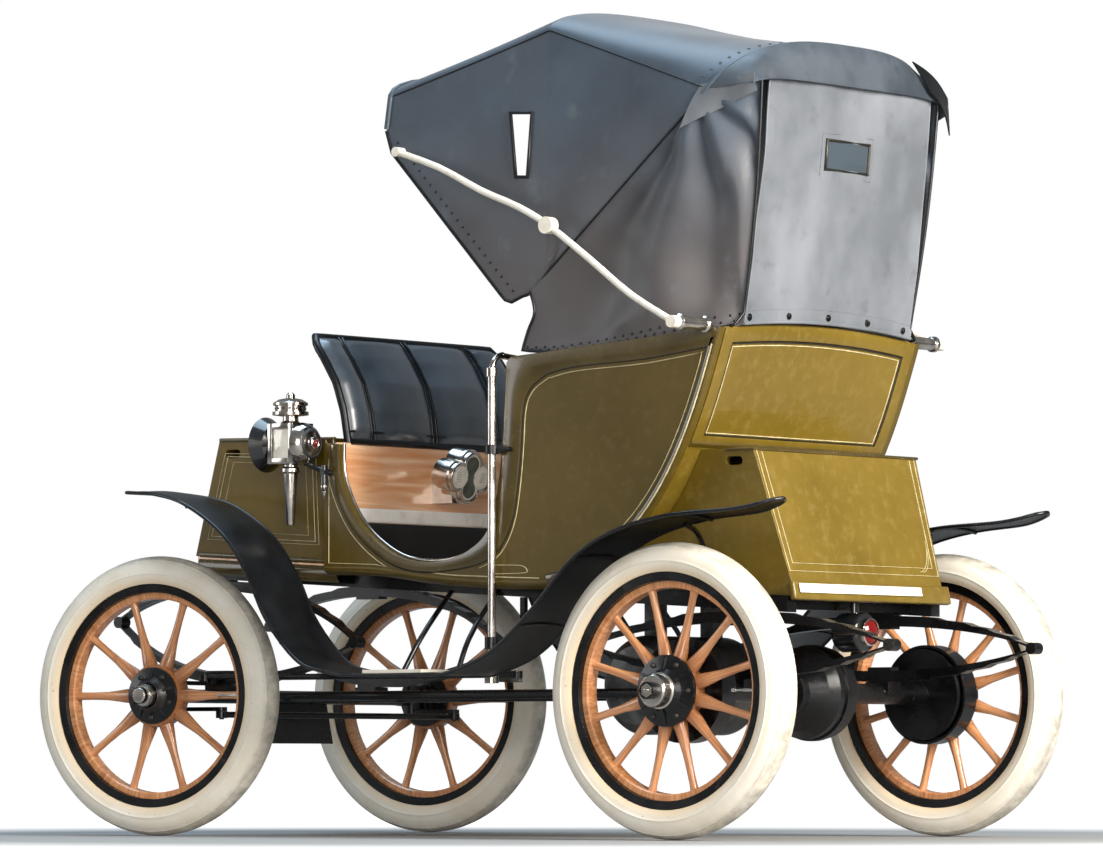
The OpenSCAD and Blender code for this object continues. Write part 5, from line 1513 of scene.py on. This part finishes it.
lampSet = {
    "place": (0.580, 0.520, 1.130),
    "dome": [(0.0, 0.0968), (0.0095, 0.0960), (0.0138, 0.0908), (0.0148, 0.0870), (0.0348, 0.0840),
             (0.0508, 0.0730), (0.0588, 0.0567), (0.0610, 0.0466), (0.0560, 0.0464)],
    "stem": [(0.0, -0.2368), (0.0097, -0.2346), (0.0137, -0.2262), (0.0207, -0.0866), (0.0267, -0.0806),
             (0.0267, -0.0714), (0.0207, -0.0654), (0.0207, -0.0600)],
    "crown": [(0.0306, 0.0592), (0.0228, 0.0664), (0.0228, 0.0795), (0.0527, 0.0833), (0.0527, 0.0926),
              (0.0447, 0.0944), (0.0447, 0.1096), (0.0507, 0.1116), (0.0507, 0.1184), (0.0344, 0.1286),
              (0.0127, 0.1326), (0.0127, 0.1424), (0.0064, 0.1486), (0.0, 0.1488)],
    "bezel": [(0.0105, 0.0945), (0.0140, 0.0965), (0.0175, 0.0945), (0.0185, 0.0880)],
    "acorn": [(0.0, -0.026), (0.003, -0.024), (0.009, -0.012), (0.010, -0.004), (0.006, 0.000),
              (0.006, 0.004), (0.012, 0.006), (0.012, 0.012), (0.0, 0.014)],
    "jewel": [(0.0, 0.1040), (0.005, 0.1026), (0.0092, 0.0990), (0.0108, 0.0950)],
    "collar": [(0.0352, 0.0846), (0.0395, 0.0850), (0.0440, 0.0800), (0.0420, 0.0770)],
    "glass": (0.062, 0.084), "frame": 0.0165,
}


def makeLamps():
    centre = Vector(lampSet["place"])
    place = Matrix.Translation(centre)
    back = aimed(centre, (-1, 0, 0))
    dome = settle(turned("dome", lampSet["dome"], 40), back)
    stem = settle(turned("stem", lampSet["stem"], 28), place)
    crown = settle(turned("crown", lampSet["crown"], 40), place)
    bezel = settle(turned("bezel", lampSet["bezel"], 28), back)
    w, h = lampSet["glass"]
    bar = lampSet["frame"]
    bars = []
    for x, z, size in ((w / 2 + bar / 2, 0, (bar, 0.004, h + 2 * bar)),
                       (-w / 2 - bar / 2, 0, (bar, 0.004, h + 2 * bar)),
                       (0, h / 2 + bar / 2, (w, 0.004, bar)), (0, -h / 2 - bar / 2, (w, 0.004, bar))):
        spot = centre + Vector((x, 0.0455, z))
        bars.append(settle(block("bar", size, 0.0012, 2), Matrix.Translation(spot)))
    acorn = turned("acorn", lampSet["acorn"], 20)
    settle(acorn, Matrix.Translation((0.468, 0.500, 0.996)))
    dress(bothSides(joined("lamp-plating", [dome, stem, crown, bezel, acorn] + bars)), "nickelPlate")

    pane = sheetBy("lamp-glass", 8, 10, lambda a, b: centre + Vector((
        (a - 0.5) * w, 0.0390 + 0.004 * math.sin(math.pi * a) * math.sin(math.pi * b), (b - 0.5) * h)))
    pane = bothSides(soften(thicken(pane, 0.002, 0), 40))
    dress(pane, "lampPane")
    jewel = turned("jewel", lampSet["jewel"], 24)
    jewel = bothSides(settle(jewel, back))
    dress(joined("lamp-jewels", [jewel]), "redLens")

    hole = lofted("hole", [(0, 0.0034, 0.0050), (0.0012, 0.0030, 0.0046)], 10)
    ring = []
    for k in range(14):
        angle = 2 * math.pi * k / 14
        way = Vector((math.cos(angle), math.sin(angle), 0))
        ring.append(aimed(centre + way * 0.0446 + Vector((0, 0, 0.102)), way, "X"))
    holes = copies("holes", hole, ring)
    collar = settle(turned("collar", lampSet["collar"], 36), back)
    dress(bothSides(joined("lamp-vents", [holes, collar])), "dialDark")


meterSet = {
    "place": (0.332, 0, 1.044), "tilt": 78, "side": 0.051, "up": 0.033, "lobe": 0.0345, "rim": 0.0395,
    "plate": [(-0.062, 0.0), (-0.058, 0.014), (-0.046, 0.025), (-0.030, 0.026), (-0.014, 0.015), (0, 0.012),
              (0.014, 0.015), (0.030, 0.026), (0.046, 0.025), (0.058, 0.014)],
}


def lobeLine(lobes, steps=72):  # outline of circles about the middle, as points seen from it
    line = []
    for k in range(steps):
        angle = 2 * math.pi * k / steps
        way = Vector((math.cos(angle), math.sin(angle)))
        far = 0.0
        for middle, radius in lobes:
            along = way.dot(Vector(middle))
            rest = radius ** 2 - (Vector(middle).length_squared - along ** 2)
            if rest >= 0:
                far = max(far, along + math.sqrt(rest))
        line.append((way.x * far, way.y * far))
    return line


def makeMeter():
    place = Matrix.Translation(meterSet["place"]) @ Matrix.Rotation(math.radians(meterSet["tilt"]), 4, "Y")
    side, up = meterSet["side"], meterSet["up"]

    def lobed(r):  # four round lobes
        return lobeLine([((0, side), r), ((0, -side), r), ((up, 0), r), ((-up, 0), r)])

    face = plateFrom("meter-face", lobed(meterSet["lobe"]),
                     lambda a, b: Vector((a, b, 0.0038)), (0, 0, -0.0008))
    settle(face, place)
    dress(face, "dialFace")
    glass = meterSet["plate"]
    outline = [Vector(q) for q in glass + [(0.062, 0.0)] + [(x, -y) for x, y in reversed(glass[1:])]]
    plate = plateFrom("meter-plate", [tuple(q) for q in smoothLine(outline + outline[:1], 3)[:-1]],
                      lambda a, b: Vector((a, b, 0.0030)), (0, 0, -0.0026))
    settle(rounded(plate, 0.001, 2, 50), place)
    dress(plate, "dialPlate")
    panes, ticks = [], []
    for y in (-0.053, 0.053):
        panes.append(settle(block("pane", (0.034, 0.030, 0.0015), 0.0005, 1),
                            place @ Matrix.Translation((0, y, 0.0024))))
        for k in range(6):
            ticks.append(settle(block("tick", (0.0011, 0.020, 0.0008), 0.0002, 1),
                                place @ Matrix.Translation((-0.0125 + 0.005 * k, y, 0.0015))))
    rimPoints = [place @ Vector((a, b, 0.0006)) for a, b in lobed(meterSet["rim"])]
    rim = tubeAlong("meter-rim", rimPoints, 0.0042, True)
    dress(joined("meter-windows", panes), "lampPane")
    dress(joined("meter-ticks", ticks), "dialDark")
    dress(rim, "nickelPlate")


tailSet = {
    "place": (-1.050, 0, 0.574),
    "lens": [(0.0, 0.0680), (0.014, 0.0665), (0.026, 0.0620), (0.0330, 0.0550), (0.0335, 0.0500)],
    "rim": [(0.0335, 0.0520), (0.0350, 0.0580), (0.0385, 0.0570), (0.0400, 0.0440), (0.0390, 0.0400)],
}


def makeTailLamp():
    back = aimed(tailSet["place"], (-1, 0, 0))
    dress(settle(turned("tail-lens", tailSet["lens"], 32), back), "redLens")
    dress(settle(turned("tail-rim", tailSet["rim"], 36), back), "nickelPlate")


footSet = {"board": 0.4515, "half": 0.440, "kick-band": (0.907, 0.947), "foot-mat": (0.776, 0.905),
           "strip": 0.4475}


def makeFootwell():  # white kick band and rubber mat turned up against the toe board
    for name, finish, slot, wall in (("kick-band", "kickWhite", "ivory_paint", 0.0016),
                                     ("foot-mat", "matRubber", "black_paint", 0.0060)):
        low, high = footSet[name]
        sheet = sheetBy(name, 40, 6, lambda a, b: Vector((
            footSet["board"] - wall / 2 - 0.0004 - (0.0012 * wrinkle(a, 2, b, 0.2) if wall > 0.002 else 0),
            lerp(footSet["half"], -footSet["half"], a), lerp(low, high, b))))
        soften(rounded(thicken(sheet, wall, 0), 0.0005, 1, 60), 50)
        dress(sheet, finish)
    points = [Vector((q.x, footSet["strip"], q.y + 0.004)) for q in doorLine]  # round the doorway
    strip = bothSides(tubeAlong("strip", points, 0.0050))
    dress(joined("doorway-strip", [strip]), "nickelPlate")


makeLamps()
makeMeter()
makeTailLamp()
makeFootwell()
print("fittings: lamps, meter and tail lamp")


# plain solids that keep their own shape

solidFinishes = {
    "bodyPaint": ["tub_sides", "seat_box"],
    # front box: lighter copy of the body paint, painted light
    "frontBoxLitPaint": ["front_box"],
    # rear panel and rear box: lighter copy of the body paint, painted light
    "sunnyPaint": ["rear_panel", "rear_box"],
    "timberVarnish": ["floor_boards", "toe_board", "hood_bows"],
    "ivoryPaint": ["hood_irons", "step_pads"],
    "nickelPlate": ["prop_rollers", "tiller", "meter"],
    "ironBlack": ["frame_rails", "front_axle", "rear_axle", "knuckle_left", "knuckle_right", "tie_rod",
                  "drag_link", "tiller_brackets", "front_springs", "rear_springs"]
                  + ["iron_" + w["corner"] for w in wheels],
    "lampEnamel": ["lamps", "tail_lamp"],
    "motorSteel": ["motor"],
    "batteryCase": ["batteries"],
}
for title, names in solidFinishes.items():
    for name in names:
        nodes[name].data.materials.clear()
        nodes[name].data.materials.append(finishes[title])
